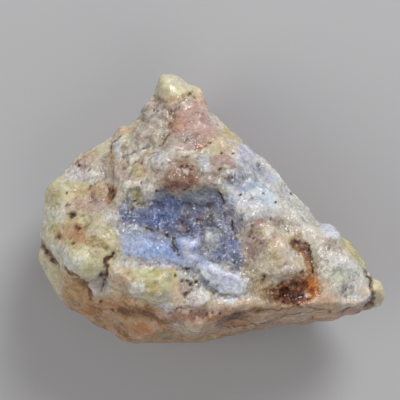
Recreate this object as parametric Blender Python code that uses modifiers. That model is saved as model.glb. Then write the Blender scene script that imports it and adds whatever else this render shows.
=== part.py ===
"""A fist-sized piece of rough hackmanite: one solid lump of broken stone.

It lies on its back on a flat fracture, with its broad blue face up.
X runs along the longest side, Y towards the pale knob at the apex, Z up.
Run it with: blender --background --python part.py
"""

import math

import bmesh
import bpy
import numpy as np
from mathutils import Vector, kdtree, noise

# Driving dimensions, in metres.
MM = 0.001
BODY_LENGTH = 96.0 * MM  # about the longest side, along X
SKIN = 0.9 * MM  # size of the even mesh that the relief is worked into
FACE_BUDGET = 9200  # triangles kept in the finished solid
STONE_COLOUR = (0.56, 0.50, 0.40, 1.0)  # linear, the pale matrix
STONE_ROUGHNESS = 0.45

# Outline of the lump seen from above, in mm, counter-clockwise from the right tip.
OUTLINE = [
    (46.8, -22.4), (46.3, -20.0), (44.4, -17.4), (41.3, -13.6), (37.9, -9.0),
    (35.1, -7.2), (31.0, -5.0), (29.6, -3.7), (29.2, -2.6), (27.7, -0.4),
    (21.9, 4.6), (17.5, 10.8), (14.7, 13.0), (12.0, 14.8), (9.5, 17.7),
    (4.4, 22.2), (-0.4, 26.8), (-3.0, 32.7), (-4.2, 33.5), (-6.0, 33.3),
    (-9.2, 34.5), (-11.6, 36.2), (-14.1, 37.2), (-15.2, 35.3), (-15.6, 32.1),
    (-17.1, 29.3), (-18.8, 27.7), (-19.7, 24.6), (-22.3, 22.4), (-26.0, 21.9),
    (-28.6, 20.5), (-30.3, 18.1), (-36.2, 15.3), (-39.0, 12.3), (-43.3, 8.5),
    (-46.2, 6.2), (-46.8, 2.6), (-47.4, -3.1), (-47.6, -9.7), (-48.6, -15.2),
    (-45.6, -20.2), (-43.4, -24.0), (-39.7, -28.3), (-34.6, -31.1), (-28.0, -35.2),
    (-23.7, -37.2), (-18.3, -38.3), (-11.7, -37.9), (-5.4, -37.8), (3.0, -35.9),
    (10.1, -34.9), (19.6, -32.7), (29.3, -31.6), (38.3, -29.7), (44.6, -28.5),
    (47.0, -26.9), (47.5, -24.8),
]
OUTLINE_CENTRE = (-2.0, -5.0)  # mm, the point that the outline is drawn round
TRIM_DIRECTIONS = 180  # how many directions the block's own reach is taken in
TRIM_FROM = 0.45  # of the way out, where the trimming to the outline sets in

# Each fracture that bounds the lump: the way it faces (degrees round from +X),
# how far it looks up from level (degrees), and a point that it passes through, in mm.
FRACTURES = {
    "crown": (-60, 86, (0, -5, 45.5)),
    "crown_left": (150, 72, (-24, -2, 43)),
    "apex_face": (84, 54, (-2, 12, 42.5)),
    "apex_left": (140, 47, (-15, 17, 38)),
    "upper_left": (128, 50, (-28, 8, 39)),
    "left_bulge": (176, 40, (-42, -2, 35)),
    "left_chin": (-145, 33, (-41, -15, 33)),
    "lower_left": (-122, 38, (-28, -26, 33)),
    "lower_front": (-84, 15, (12, -29.0, 41)),
    "right_face": (8, 63, (20, -12, 43.5)),
    "right_shoulder": (42, 58, (10, 4, 43)),
    "right_strip": (42, 20, (17, 9.5, 31)),
    "tip": (-22, 20, (47, -25, 22)),
    "right_under": (43, -27, (17, 11, 27)),
    "knob_top": (60, 30, (-8, 36.0, 22)),
    "knob_under": (62, -22, (-8, 35.2, 22)),
    "upper_left_under": (130, -24, (-29.4, 20.6, 24)),
    "left_under": (178, -30, (-48.3, -8, 21)),
    "chin_under": (-140, -35, (-41, -25, 19)),
    "belly": (-108, -22, (-18, -38, 15)),
    "lower_under": (-78, -16, (10, -35.4, 17)),
    "tip_under": (-12, -55, (42, -24, 13)),
    "back_slope": (100, -62, (-10, 20, 5)),
    "resting_face": (0, -90, (0, 0, -2.2)),
}

# Lumps (+) and hollows (-) of the upper side, in mm: middle x and y, full length and
# width, turn of the long axis in degrees, height, and how steep the sides are, 1 to 6.
SWELLS = {
    "knob": (-10.0, 32.8, 11, 8.5, -20, 2.6, 1.5),
    "knob_root": (-12.2, 29.4, 3.5, 5.5, 10, 1.4, 1),
    "grey_hollow": (-17.0, 26.5, 7, 6, 20, -1.6, 1.5),
    "grey_knot": (-16.6, 20.2, 11, 6.5, 38, 2.4, 2),
    "pink_face": (-3.0, 20.5, 10, 14, 30, 0.6, 1),
    "pink_lump": (-8.8, 8.8, 11, 9.5, 0, 2.2, 1.5),
    "white_lobe": (-12.5, 14.6, 8, 5, 20, 1.0, 1.5),
    "upper_left_ridge": (-26.0, 16.4, 3.5, 8, -8, 1.6, 1.5),
    "upper_left_knot": (-33.0, 11.0, 5, 6, 0, 1.3, 1.5),
    "left_swell": (-41.0, 0.0, 13, 20, 0, 1.8, 1),
    "left_valley": (-32.5, 3.0, 10, 7, 10, -1.6, 1),
    "rust_pit": (-28.4, 3.8, 4, 6.5, 0, -1.8, 2),
    "pocket_brow": (-25.0, 4.0, 3, 9, -6, 1.8, 1.5),
    "olive_hollow": (-20.0, 10.4, 5, 5, 0, -1.2, 1.5),
    "tan_hollow": (-20.0, 3.2, 5, 4.5, 0, -1.2, 1.5),
    "sharp_crest": (-21.6, 6.0, 5, 2.5, 50, 1.2, 2),
    "green_brow": (-30.5, -8.5, 9, 8, 0, 1.7, 1.5),
    "chin_lump": (-36.0, -14.6, 11, 9, -10, 2.6, 2),
    "chin_dip": (-31.0, -21.5, 5, 6, 0, -1.8, 1.5),
    "blue_pocket": (-10.6, -1.2, 29, 12.5, -4, -4.8, 3),
    "pocket_arm": (1.4, 2.0, 6, 8, -20, -2.0, 2),
    "pocket_pebble": (0.6, -8.0, 5, 4.6, 0, 1.8, 2),
    "pale_shelf": (-17.6, -11.0, 14, 6.5, -4, 1.4, 4),
    "shelf_block": (-6.2, -10.2, 6.4, 5, 0, 1.5, 4),
    "vein_trough": (4.8, -5.0, 3, 16, 4, -1.6, 1.5),
    "wall_bump": (7.4, -3.0, 3.6, 6, 0, 1.4, 1.5),
    "speckled_crest": (4.6, 8.6, 6, 4, 20, 1.4, 1.5),
    "white_knot": (11.2, -0.8, 9, 5, 20, 2.0, 1.5),
    "lilac_step": (12.6, 8.8, 12, 7, -10, -1.3, 2.5),
    "tongue": (3.4, -18.6, 14, 4.8, -30, 2.0, 2.5),
    "notch": (-6.4, -17.4, 7, 4, -5, -2.0, 1.5),
    "green_lump": (-16.0, -21.0, 14, 9, -6, 2.8, 2),
    "white_lump": (-3.6, -24.4, 6.5, 7, -10, 2.2, 2),
    "lower_groove": (1.0, -21.4, 7, 2.6, -12, -1.3, 1.5),
    "lower_ridge": (6.6, -25.6, 13, 3.4, 8, 1.5, 1.5),
    "tan_lump": (15.6, -9.4, 12, 9, -30, 1.6, 1.5),
    "cream_lump": (18.6, -16.4, 13, 7, -12, 1.8, 1.5),
    "iron_pit": (23.4, -22.8, 12, 7, 10, -3.0, 2),
    "right_swell": (34.0, -15.0, 14, 10, -40, 1.4, 1),
    "right_dip": (37.4, -22.8, 4.5, 7, -10, -1.4, 1.5),
    "edge_knot": (32.4, -6.4, 6.5, 4.5, -30, 1.6, 1.5),
    "tip_knob": (46.0, -23.6, 4.5, 10, 10, 1.4, 1.5),
    "lower_dip": (7.0, -30.4, 10, 3, 6, -1.6, 1.5),
    "belly_knob": (-5.6, -32.4, 9, 5, 8, 1.5, 1.5),
}

SWELL_WOBBLE = (3.5, 0.28)  # how their edges wander: over how many mm, and how far
UPPER_SIDE = (-0.15, 0.35)  # upward slope of the skin where their relief starts and is full

# Open cracks and seams of the upper side, in mm: depth, width, and the points they follow.
CRACKS = {
    "apex_groove": (1.8, 1.8, [(-10.6, 29.6), (-10.8, 25.0), (-11.0, 20.5), (-13.6, 17.2), (-16.4, 15.8)]),
    "knob_seam": (1.4, 1.2, [(-15.3, 35.6), (-15.5, 32.0), (-14.2, 30.4), (-12.4, 28.4)]),
    "left_groove": (1.4, 1.5, [(-26.6, 20.0), (-28.3, 18.0), (-28.0, 15.0), (-28.6, 11.5), (-29.6, 7.5)]),
    "pocket_crack": (2.0, 1.4, [(2.2, 4.4), (3.3, 1.5), (3.2, -2.2)]),
    "wall_crack": (1.8, 1.4, [(5.3, -3.4), (5.6, -6.0), (6.4, -7.6)]),
    "shelf_crack": (1.8, 1.3, [(-10.5, -8.0), (-10.4, -11.0), (-9.0, -13.2)]),
    "chin_crack": (1.9, 1.6, [(-27.0, -12.4), (-29.7, -15.2), (-29.0, -18.4), (-29.8, -20.8), (-30.4, -23.6)]),
    "chin_edge": (1.2, 1.6, [(-40.4, -17.2), (-36.4, -20.2), (-34.6, -22.6), (-33.4, -24.8)]),
    "left_seam": (1.6, 1.6, [(-47.6, -9.8), (-45.6, -12.8), (-43.4, -15.8)]),
    "rust_vein": (1.5, 1.8, [(22.8, -9.6), (25.2, -11.2), (27.0, -13.4), (28.0, -16.6), (28.2, -19.0)]),
    "tip_seam": (1.8, 1.4, [(42.2, -16.4), (43.8, -19.5), (44.6, -23.0), (44.6, -26.2), (42.4, -28.4)]),
    "belly_seam": (1.6, 1.8, [(-25.6, -28.6), (-22.0, -28.6), (-18.4, -29.2), (-13.4, -31.4), (-10.6, -33.4)]),
}

CRACK_WOBBLE = (2.0, 0.5)  # mm, how the cracks wander: over how far, and by how much

# Breaks of level across the upper side, in mm: how far the right-hand side of the line
# drops, how far that drop reaches, and the points of the line.
LEDGES = {
    "lilac_ledge": (1.2, 6.0, [(3.0, 5.6), (9.0, 5.4), (18.0, 5.8)]),
    "lower_ledge": (1.5, 5.0, [(36.0, -28.4), (20.0, -28.2), (4.0, -28.6), (-10.0, -28.6), (-20.0, -26.8)]),
    "shelf_ledge": (1.2, 5.0, [(6.0, -16.4), (-4.0, -15.6), (-14.0, -15.2), (-26.0, -14.8)]),
    "knot_ledge": (1.0, 5.0, [(-13.0, 15.0), (-20.0, 12.4), (-24.0, 6.0)]),
}

LEDGE_EDGE = 0.8  # mm, half the width over which a level breaks

# Scars where flakes came off the sides and the back, as balls that dent them, in mm:
# middle x, y and z, radius.
SCARS = {
    "front_scar": (24.0, -50.0, -4.0, 24.0),
    "left_scar": (-50.0, 8.0, -2.0, 15.0),
    "apex_scar": (6.0, 38.0, 4.0, 15.0),
    "right_scar": (44.0, 8.0, 16.0, 22.0),
    "upper_scar": (-38.0, 24.0, 12.0, 10.0),
    "belly_scar": (-30.0, -44.0, 6.0, 12.0),
}

# Cleavage chips over the whole surface: cell size and tilt height, in mm. They stand out
# in some stretches and fade in others, each stretch about CHIP_STRETCH mm across.
CHIPS = [(11.0, 0.9), (5.0, 0.45)]
CHIP_STRETCH = 16.0
CHIP_STRENGTH = (0.3, 0.75, 1.2)  # least, mean and most of their height
CHIP_FIELD = ((-62, -52, -12), (62, 52, 64))  # mm, the box that the chips' middles fill
CHIP_SEED = 11

# Wear of the broken edges, and how far the relief is kept in one piece.
WEAR = 0.5
WEAR_ROUNDS = 2
NORMAL_ROUNDS = 6


def clear_scene():
    for old in list(bpy.data.objects):
        bpy.data.objects.remove(old)


def facing(azimuth, elevation):
    """Unit vector that looks out at these angles, in degrees."""
    turn = math.radians(azimuth)
    rise = math.radians(elevation)
    level = math.cos(rise)
    return Vector((math.cos(turn) * level, math.sin(turn) * level, math.sin(rise)))


def broken_block():
    """A block larger than the stone, with everything outside each fracture struck off."""
    block = bmesh.new()
    bmesh.ops.create_cube(block, size=2 * BODY_LENGTH)
    for azimuth, elevation, point in FRACTURES.values():
        cut = bmesh.ops.bisect_plane(
            block,
            geom=block.verts[:] + block.edges[:] + block.faces[:],
            dist=1e-6,
            plane_co=Vector(point) * MM,
            plane_no=facing(azimuth, elevation),
            clear_outer=True,
        )
        rim = [part for part in cut["geom_cut"] if isinstance(part, bmesh.types.BMEdge)]
        bmesh.ops.contextual_create(block, geom=rim)
    bmesh.ops.recalc_face_normals(block, faces=block.faces[:])
    mesh = bpy.data.meshes.new("broken_block")
    block.to_mesh(mesh)
    block.free()
    return bpy.data.objects.new("broken_block", mesh)


def applied(obj):
    """The mesh that the object's modifiers make, with the modifiers and the old mesh gone."""
    bpy.context.view_layer.update()
    graph = bpy.context.evaluated_depsgraph_get()
    old = obj.data
    obj.data = bpy.data.meshes.new_from_object(obj.evaluated_get(graph))
    obj.modifiers.clear()
    bpy.data.meshes.remove(old)
    return obj.data


def smooth_step(low, high, value):
    t = np.clip((value - low) / (high - low), 0.0, 1.0)
    return t * t * (3.0 - 2.0 * t)


def points_of(mesh):
    """The vertices as an array of rows, in mm."""
    flat = np.empty(len(mesh.vertices) * 3)
    mesh.vertices.foreach_get("co", flat)
    return flat.reshape(-1, 3) / MM


def normals_of(mesh):
    flat = np.empty(len(mesh.vertices) * 3)
    mesh.vertex_normals.foreach_get("vector", flat)
    return flat.reshape(-1, 3)


def put_back(mesh, points):
    mesh.vertices.foreach_set("co", (points * MM).ravel())
    mesh.update()


def reach_of(corners, angles):
    """How far a closed outline lies from OUTLINE_CENTRE in each direction."""
    from_centre = np.array(corners) - OUTLINE_CENTRE
    bearing = np.arctan2(from_centre[:, 1], from_centre[:, 0])
    order = np.argsort(bearing)
    reach = np.hypot(from_centre[:, 0], from_centre[:, 1])[order]
    return np.interp(angles, bearing[order], reach, period=2 * math.pi)


def trim_to_outline(points):
    """Moves the sides in or out so that the lump seen from above fills OUTLINE."""
    out = points[:, :2] - OUTLINE_CENTRE
    angles = np.arctan2(out[:, 1], out[:, 0])
    radius = np.hypot(out[:, 0], out[:, 1])
    slot = ((angles + math.pi) / (2 * math.pi) * TRIM_DIRECTIONS).astype(int) % TRIM_DIRECTIONS
    widest = np.zeros(TRIM_DIRECTIONS)
    np.maximum.at(widest, slot, radius)
    middles = (np.arange(TRIM_DIRECTIONS) + 0.5) / TRIM_DIRECTIONS * 2 * math.pi - math.pi
    block_reach = np.interp(angles, middles, widest, period=2 * math.pi)
    grow = reach_of(OUTLINE, angles) / block_reach
    share = smooth_step(TRIM_FROM, 1.0, radius / block_reach)
    points[:, :2] += out * ((grow - 1.0) * share)[:, None]


def along_line(points, corners):
    """Distance of each point from a line through the corners, and which side it is on."""
    nearest = np.full(len(points), np.inf)
    side = np.zeros(len(points))
    line = np.array(corners, float)
    for start, end in zip(line[:-1], line[1:]):
        run = end - start
        away = points[:, :2] - start
        share = np.clip(away @ run / (run @ run), 0.0, 1.0)
        gap = away - share[:, None] * run
        distance = np.hypot(gap[:, 0], gap[:, 1])
        closer = distance < nearest
        nearest[closer] = distance[closer]
        left_of = run[0] * away[:, 1] - run[1] * away[:, 0]
        side[closer] = np.sign(left_of)[closer]
    return nearest, side


def wobble(points, size, height, seed):
    """Smooth noise of this cell size, in mm, for lines and edges that aren't drawn straight."""
    shift = Vector((seed * 7.3, seed * 3.1, seed * 5.7))
    return np.array([height * noise.noise(Vector(p) / size + shift) for p in points])


def swells(points):
    """Rise of the upper side where lumps stand out and hollows are sunk."""
    rise = np.zeros(len(points))
    ragged = wobble(points, *SWELL_WOBBLE, 1)
    for x, y, length, width, turn, height, steep in SWELLS.values():
        c, s = math.cos(math.radians(turn)), math.sin(math.radians(turn))
        dx, dy = points[:, 0] - x, points[:, 1] - y
        far = np.hypot((dx * c + dy * s) / (length / 2), (dy * c - dx * s) / (width / 2))
        start = 1.0 - 1.0 / steep
        rise += height * (1.0 - smooth_step(start * 0.8, 1.25, far + ragged))
    return rise


def cracks(points):
    cut = np.zeros(len(points))
    ragged = wobble(points, *CRACK_WOBBLE, 2)
    for depth, width, corners in CRACKS.values():
        distance, _ = along_line(points, corners)
        cut += depth * np.exp(-(((distance + ragged) / width) ** 2) * 2.0)
    return cut


def ledges(points):
    rise = np.zeros(len(points))
    for drop, reach, corners in LEDGES.values():
        distance, side = along_line(points, corners)
        level = np.tanh(distance * side / LEDGE_EDGE)
        rise += 0.5 * drop * level * np.exp(-((distance / reach) ** 2))
    return rise


def chips(points, cell, height, seed):
    """Rise that breaks the surface into flat cleavage chips of about this size."""
    random = np.random.default_rng(seed)
    low, high = np.array(CHIP_FIELD)
    count = int(np.prod((high - low) / cell))
    seeds = low + random.random((count, 3)) * (high - low)
    tilts = random.normal(size=(count, 3))
    tilts /= np.linalg.norm(tilts, axis=1)[:, None]
    levels = random.uniform(-0.5, 0.5, count)
    tree = kdtree.KDTree(count)
    for index, seed_point in enumerate(seeds):
        tree.insert(seed_point, index)
    tree.balance()
    rise = np.empty(len(points))
    for row, point in enumerate(points):
        _, index, _ = tree.find(point)
        away = point - seeds[index]
        rise[row] = height * (levels[index] + float(away @ tilts[index]) / cell)
    return rise


def scars(points):
    """Dents the sides and back where flakes came off, each a shallow bowl."""
    for x, y, z, radius in SCARS.values():
        away = points - np.array((x, y, z))
        distance = np.linalg.norm(away, axis=1)
        inside = distance < radius
        points[inside] += away[inside] * (radius / distance[inside] - 1.0)[:, None]


def smoothed_normals(mesh):
    """Vertex normals averaged over their neighbours, so that relief stays in one piece."""
    normals = normals_of(mesh)
    ends = np.empty(len(mesh.edges) * 2, np.int32)
    mesh.edges.foreach_get("vertices", ends)
    ends = ends.reshape(-1, 2)
    for _ in range(NORMAL_ROUNDS):
        total = normals.copy()
        np.add.at(total, ends[:, 0], normals[ends[:, 1]])
        np.add.at(total, ends[:, 1], normals[ends[:, 0]])
        normals = total / np.linalg.norm(total, axis=1)[:, None]
    return normals


def work_relief(mesh):
    """Works every lump, hollow, crack, ledge, scar and chip into the even skin."""
    points = points_of(mesh)
    trim_to_outline(points)
    scars(points)
    put_back(mesh, points)
    normals = smoothed_normals(mesh)
    upper = smooth_step(*UPPER_SIDE, normals[:, 2])
    rise = upper * (swells(points) + ledges(points) - cracks(points))
    least, mean, most = CHIP_STRENGTH
    strength = np.clip(mean + wobble(points, CHIP_STRETCH, 1.0, 3), least, most)
    for number, (cell, height) in enumerate(CHIPS):
        rise += strength * chips(points, cell, height, CHIP_SEED + number)
    put_back(mesh, points + normals * rise[:, None])


def thin_out(obj):
    """Wears the sharpest edges, then keeps few triangles on flat chips and many on edges."""
    triangles = 2 * len(obj.data.polygons)
    wear = obj.modifiers.new("worn_edges", "SMOOTH")
    wear.factor = WEAR
    wear.iterations = WEAR_ROUNDS
    decimate = obj.modifiers.new("thin_out", "DECIMATE")
    decimate.ratio = FACE_BUDGET / triangles
    applied(obj)


def cut_resting_face(mesh):
    """Cuts the back flat at Z = 0, so that the stone rests on it."""
    stone = bmesh.new()
    stone.from_mesh(mesh)
    cut = bmesh.ops.bisect_plane(
        stone,
        geom=stone.verts[:] + stone.edges[:] + stone.faces[:],
        dist=1e-6,
        plane_co=(0, 0, 0),
        plane_no=(0, 0, -1),
        clear_outer=True,
    )
    rim = [part for part in cut["geom_cut"] if isinstance(part, bmesh.types.BMEdge)]
    bmesh.ops.triangle_fill(stone, edges=rim, use_beauty=True)
    bmesh.ops.triangulate(stone, faces=stone.faces[:])
    bmesh.ops.recalc_face_normals(stone, faces=stone.faces[:])
    stone.to_mesh(mesh)
    stone.free()


def set_in_middle(mesh):
    """Moves the stone so that the middle of its box stands over the origin."""
    points = points_of(mesh)
    middle = (points.min(0) + points.max(0)) / 2
    points[:, :2] -= middle[:2]
    put_back(mesh, points)


def stone_material():
    material = bpy.data.materials.new("pale_hackmanite")
    material.use_nodes = True
    shader = material.node_tree.nodes["Principled BSDF"]
    shader.inputs["Base Color"].default_value = STONE_COLOUR
    shader.inputs["Roughness"].default_value = STONE_ROUGHNESS
    shader.inputs["Metallic"].default_value = 0.0
    return material


def make_stone():
    stone = broken_block()
    stone.name = "hackmanite_rough"
    collection = bpy.data.collections.new("hackmanite_rough")
    bpy.context.scene.collection.children.link(collection)
    collection.objects.link(stone)
    remesh = stone.modifiers.new("even_skin", "REMESH")
    remesh.mode = "VOXEL"
    remesh.voxel_size = SKIN
    mesh = applied(stone)
    work_relief(mesh)
    thin_out(stone)
    cut_resting_face(stone.data)
    set_in_middle(stone.data)
    stone.data.name = "hackmanite_rough"
    stone.data.materials.append(stone_material())
    return stone


clear_scene()
make_stone()
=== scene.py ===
"""A piece of rough hackmanite on a pale floor, seen from straight above its blue face."""

import itertools
import math

import bmesh
import bpy
import numpy as np
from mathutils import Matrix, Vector, kdtree
from mathutils.bvhtree import BVHTree


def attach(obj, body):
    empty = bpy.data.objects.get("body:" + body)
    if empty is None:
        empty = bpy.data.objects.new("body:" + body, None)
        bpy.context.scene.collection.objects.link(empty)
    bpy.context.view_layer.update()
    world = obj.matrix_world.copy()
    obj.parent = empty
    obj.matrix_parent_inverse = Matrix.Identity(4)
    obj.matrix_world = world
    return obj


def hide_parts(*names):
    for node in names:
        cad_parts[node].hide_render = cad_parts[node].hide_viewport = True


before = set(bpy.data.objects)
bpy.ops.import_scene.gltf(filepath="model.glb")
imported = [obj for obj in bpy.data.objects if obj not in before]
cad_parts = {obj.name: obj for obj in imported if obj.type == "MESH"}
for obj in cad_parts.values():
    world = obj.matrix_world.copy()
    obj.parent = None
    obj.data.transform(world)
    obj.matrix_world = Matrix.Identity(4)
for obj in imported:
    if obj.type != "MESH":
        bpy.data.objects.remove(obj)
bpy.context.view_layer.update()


# The view. The stone lies on its back, so the camera looks straight down at it, from a bit
# more than half a metre, and spans a little more than its length.
MM = 0.001
RIM_HEIGHT = 20 * MM  # the level of the stone's widest outline
CAMERA_ABOVE_RIM = 600 * MM
CAMERA_ASIDE = Vector((-3.03, 2.92)) * MM  # what the camera stands over
PICTURE_WIDTH = 111.1 * MM  # what the picture spans at the level of the rim

scene = bpy.context.scene
camera_data = bpy.data.cameras.new("camera")
camera_data.angle = 2 * math.atan(PICTURE_WIDTH / 2 / CAMERA_ABOVE_RIM)
camera = bpy.data.objects.new("camera", camera_data)
camera.location = (CAMERA_ASIDE.x, CAMERA_ASIDE.y, RIM_HEIGHT + CAMERA_ABOVE_RIM)
scene.collection.objects.link(camera)
scene.camera = camera
scene.view_settings.view_transform = "Standard"


# The floor is a plain sheet of matt card, large enough to fill the view from any side. It is
# light grey without a sheen, so the eye goes to the stone.
FLOOR_SIZE = 4.0
FLOOR_COLOUR = "A9A9AB"


def linear(hex_colour):
    """An sRGB hex colour as the linear RGBA that shaders take."""
    parts = [int(hex_colour[i : i + 2], 16) / 255 for i in (0, 2, 4)]
    return [p / 12.92 if p <= 0.04045 else ((p + 0.055) / 1.055) ** 2.4 for p in parts] + [1.0]


floor_mesh = bpy.data.meshes.new("floor")
floor_form = bmesh.new()
bmesh.ops.create_grid(floor_form, x_segments=1, y_segments=1, size=FLOOR_SIZE / 2)
floor_form.to_mesh(floor_mesh)
floor_form.free()
floor = bpy.data.objects.new("floor", floor_mesh)
scene.collection.objects.link(floor)
matt_card = bpy.data.materials.new("matt_card")
matt_card.use_nodes = True
card_shader = matt_card.node_tree.nodes["Principled BSDF"]
card_shader.inputs["Base Color"].default_value = linear(FLOOR_COLOUR)
card_shader.inputs["Roughness"].default_value = 0.9
floor_mesh.materials.append(matt_card)


# The light is soft and comes mostly from the far side, over the pale knob, so that edges
# facing the knob are bright and the near side is in gentle shade. Each lamp is a square panel:
# its place and its size in m, its watts and its colour.
LAMPS = {
    "window": ((0.36, 0.70, 0.68), 0.40, 8.5, "FFFFFF"),
    "fill": ((0.30, -0.50, 0.75), 0.60, 1.5, "FFFAF2"),
    "side": ((-0.64, -0.10, 0.55), 0.50, 2.1, "FFFAF2"),
}
SKY_COLOUR = "E8E9EE"
SKY_STRENGTH = 0.38

for name, (place, size, watts, colour) in LAMPS.items():
    lamp_data = bpy.data.lights.new(name, "AREA")
    lamp_data.size = size
    lamp_data.energy = watts
    lamp_data.color = linear(colour)[:3]
    lamp = bpy.data.objects.new(name, lamp_data)
    lamp.location = place
    lamp.rotation_euler = Vector(place).to_track_quat("Z", "Y").to_euler()
    scene.collection.objects.link(lamp)
world = bpy.data.worlds.new("studio")
world.use_nodes = True
world.node_tree.nodes["Background"].inputs["Color"].default_value = linear(SKY_COLOUR)
world.node_tree.nodes["Background"].inputs["Strength"].default_value = SKY_STRENGTH
scene.world = world


# The stone is one piece of rough hackmanite in its pale matrix, broken out of a vein. Its skin
# is an even fine mesh over the solid, with the facets' edges rounded. It is worn in places, laid
# with minerals by name, and chipped, all in mm.
NODE = "hackmanite_rough"
SKIN = 0.5  # mm, the size of its mesh
WELD = 0.001  # mm, how close two corners of the solid are when they are one
ROUNDINGS = 2  # how often its facets are divided and rounded


def form_of(node):
    """A copy of the solid with its facets rounded off and an even fine mesh over it."""
    form = bmesh.new()
    form.from_mesh(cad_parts[node].data)
    bmesh.ops.remove_doubles(form, verts=form.verts[:], dist=WELD * MM)
    mesh = bpy.data.meshes.new("stone")
    form.to_mesh(mesh)
    form.free()
    made = bpy.data.objects.new("stone", mesh)
    scene.collection.objects.link(made)
    rounded = made.modifiers.new("rounded", "SUBSURF")
    rounded.levels = ROUNDINGS
    rounded.render_levels = ROUNDINGS
    skin = made.modifiers.new("skin", "REMESH")
    skin.mode = "VOXEL"
    skin.voxel_size = SKIN * MM
    bpy.context.view_layer.update()
    made.data = bpy.data.meshes.new_from_object(made.evaluated_get(bpy.context.evaluated_depsgraph_get()))
    made.modifiers.clear()
    return made


def rows(collection, name):
    """A property of a mesh's vertices as an array with a row of three values for each."""
    values = np.empty(len(collection) * 3)
    collection.foreach_get(name, values)
    return values.reshape(-1, 3)


stone = form_of(NODE)
points = rows(stone.data.vertices, "co") / MM
edges = np.empty(len(stone.data.edges) * 2, int)
stone.data.edges.foreach_get("vertices", edges)
edges = edges.reshape(-1, 2)
neighbours = np.bincount(edges.ravel(), minlength=len(points))[:, None]


def evened(values, times):
    """Each vertex's value drawn halfway to the mean of its neighbours', this many times over."""
    for _ in range(times):
        total = np.zeros_like(values)
        for a, b in ((0, 1), (1, 0)):
            for axis in range(values.shape[1]):
                total[:, axis] += np.bincount(edges[:, a], values[edges[:, b], axis], len(values))
        values = 0.5 * values + 0.5 * total / neighbours
    return values


def shaped(points):
    """Moves the skin's vertices to these points in mm, and gives the way it then faces at each."""
    stone.data.vertices.foreach_set("co", (points * MM).ravel())
    stone.data.update()
    return rows(stone.data.vertex_normals, "vector")


def smooth_step(low, high, value):
    """0 below the low value, 1 above the high one, and a smooth rise between them."""
    t = np.clip((value - low) / (high - low), 0.0, 1.0)
    return t * t * (3.0 - 2.0 * t)


ZERO = np.array((-0.30, -0.70))  # mm, the stone's own middle among the places measured on its face


def seen(points):
    """Where the camera sees each point, in mm at the level of the rim."""
    aside = np.array(CAMERA_ASIDE) / MM
    far = CAMERA_ABOVE_RIM / MM
    depth = far + RIM_HEIGHT / MM - points[:, 2]
    return ZERO + aside + (points[:, :2] - aside) * (far / depth)[:, None]


def across_oval(places, x, y, length, width, turn):
    """How far each place is from an oval's middle: 1 on the oval."""
    c, s = math.cos(math.radians(turn)), math.sin(math.radians(turn))
    dx, dy = places[:, 0] - x, places[:, 1] - y
    return np.hypot((dx * c + dy * s) / (length / 2), (dy * c - dx * s) / (width / 2))


# Where the break is worn or healed over, so that its steps are soft: the middle of an oval in
# mm as the camera sees it, its length and width in mm, its turn in degrees, and how much is
# worn away.
WORN = {
    "knob": (-11.5, 32, 13, 10, -20, 0.9), "left groove": (-28, 14, 6, 20, 0, 0.9),
    "under the knot": (-13, 20, 8, 13, -30, 0.7), "pocket's upper wall": (-8, 4, 28, 7, 0, 0.8),
    "pocket's right wall": (5, 0, 8, 18, 10, 0.8), "shelf front": (-7, -14, 12, 6, 0, 0.8),
    "under the tongue": (3, -21.5, 15, 6, -15, 0.8), "rusty hollow": (-31, 1, 14, 14, 0, 0.7),
    "chin": (-34, -14, 14, 12, 0, 0.6), "cream band": (-37, 9.5, 9, 5, 15, 0.8),
    "below the notch": (-6, -18.5, 12, 7, 0, 0.8), "violet vein": (6, -9, 8, 18, 0, 0.8),
    "shoulder": (-42, 0, 16, 24, 0, 0.8), "iron spot's rim": (22, -20.5, 14, 5, 0, 0.6),
    "belly": (-20, -30, 44, 14, -8, 0.75), "right foot": (18, -30, 40, 6, 6, 0.6),
    "left foot": (-40, -22, 16, 14, -40, 0.6),
}
WEAR = 120  # how often the skin is evened where it is fully worn
WEAR_LEVELS = (5.0, 15.0)  # mm above the rest, where the wear sets in and where it is full
WEAR_FADE = (0.5, 1.3)  # where it starts to fade and where it ends, 1 being on the oval

smoothed = evened(points, WEAR)
above = smooth_step(*WEAR_LEVELS, points[:, 2])
places = seen(points)
worn = np.zeros(len(points))
for *oval, strength in WORN.values():
    worn = np.maximum(worn, strength * above * (1.0 - smooth_step(*WEAR_FADE, across_oval(places, *oval))))
points += (smoothed - points) * worn[:, None]
outward = shaped(points)

# Its minerals: the pale and the dark tone of each, and how sugary its broken face is. Each is
# laid over those before it, and all of them over the cream of the matrix.
MINERALS = {
    "ash": ("AEA196", "807367", 0.75),
    "peach": ("D9BFA2", "B49473", 0.5),
    "tan": ("CC9059", "9C652D", 0.5),
    "milk": ("E2E0DB", "BEBBB6", 0.85),
    "celery": ("D6D1AE", "B1AA87", 0.45),
    "wax": ("DAD4B2", "B9B08C", 0.1),
    "olive": ("BEB073", "8A7C44", 0.6),
    "lemon": ("CFC46C", "A3963A", 0.5),
    "rose": ("C6A89D", "9E8078", 0.4),
    "brick": ("A27C6B", "724E3E", 0.7),
    "lilac": ("D4D6E2", "AAABBC", 0.7),
    # frost, the palest blue-white, is also laid as painted light on faces the lamps leave in shade, and in
    # specks as painted glints
    "frost": ("E6EBF8", "C6CDDF", 0.7),
    "fog": ("A7ACB5", "7E848F", 0.8),
    "sky": ("AABBDE", "8094C2", 0.7),
    "violet": ("9398B4", "6A6F8E", 0.8),
    "slate": ("7C839C", "4E556C", 1.0),
    "indigo": ("8A9CCC", "566794", 1.0),
    "navy": ("5468A0", "2C3F6E", 1.0),
    "russet": ("8A5C2C", "562F0E", 0.7),
    "ochre": ("DC8A30", "A86018", 0.8),
    "rust": ("B0662F", "7C4019", 0.9),
    "umber": ("6B3210", "341505", 0.8),
    "jet": ("4A200C", "240C04", 0.3),
}
CREAM = ("D6CDB6", "B4A78B", 0.7)
IN_SIGHT = (-0.45, 0.0)  # how far up a face looks where the camera's side ends, and where it is full
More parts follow.
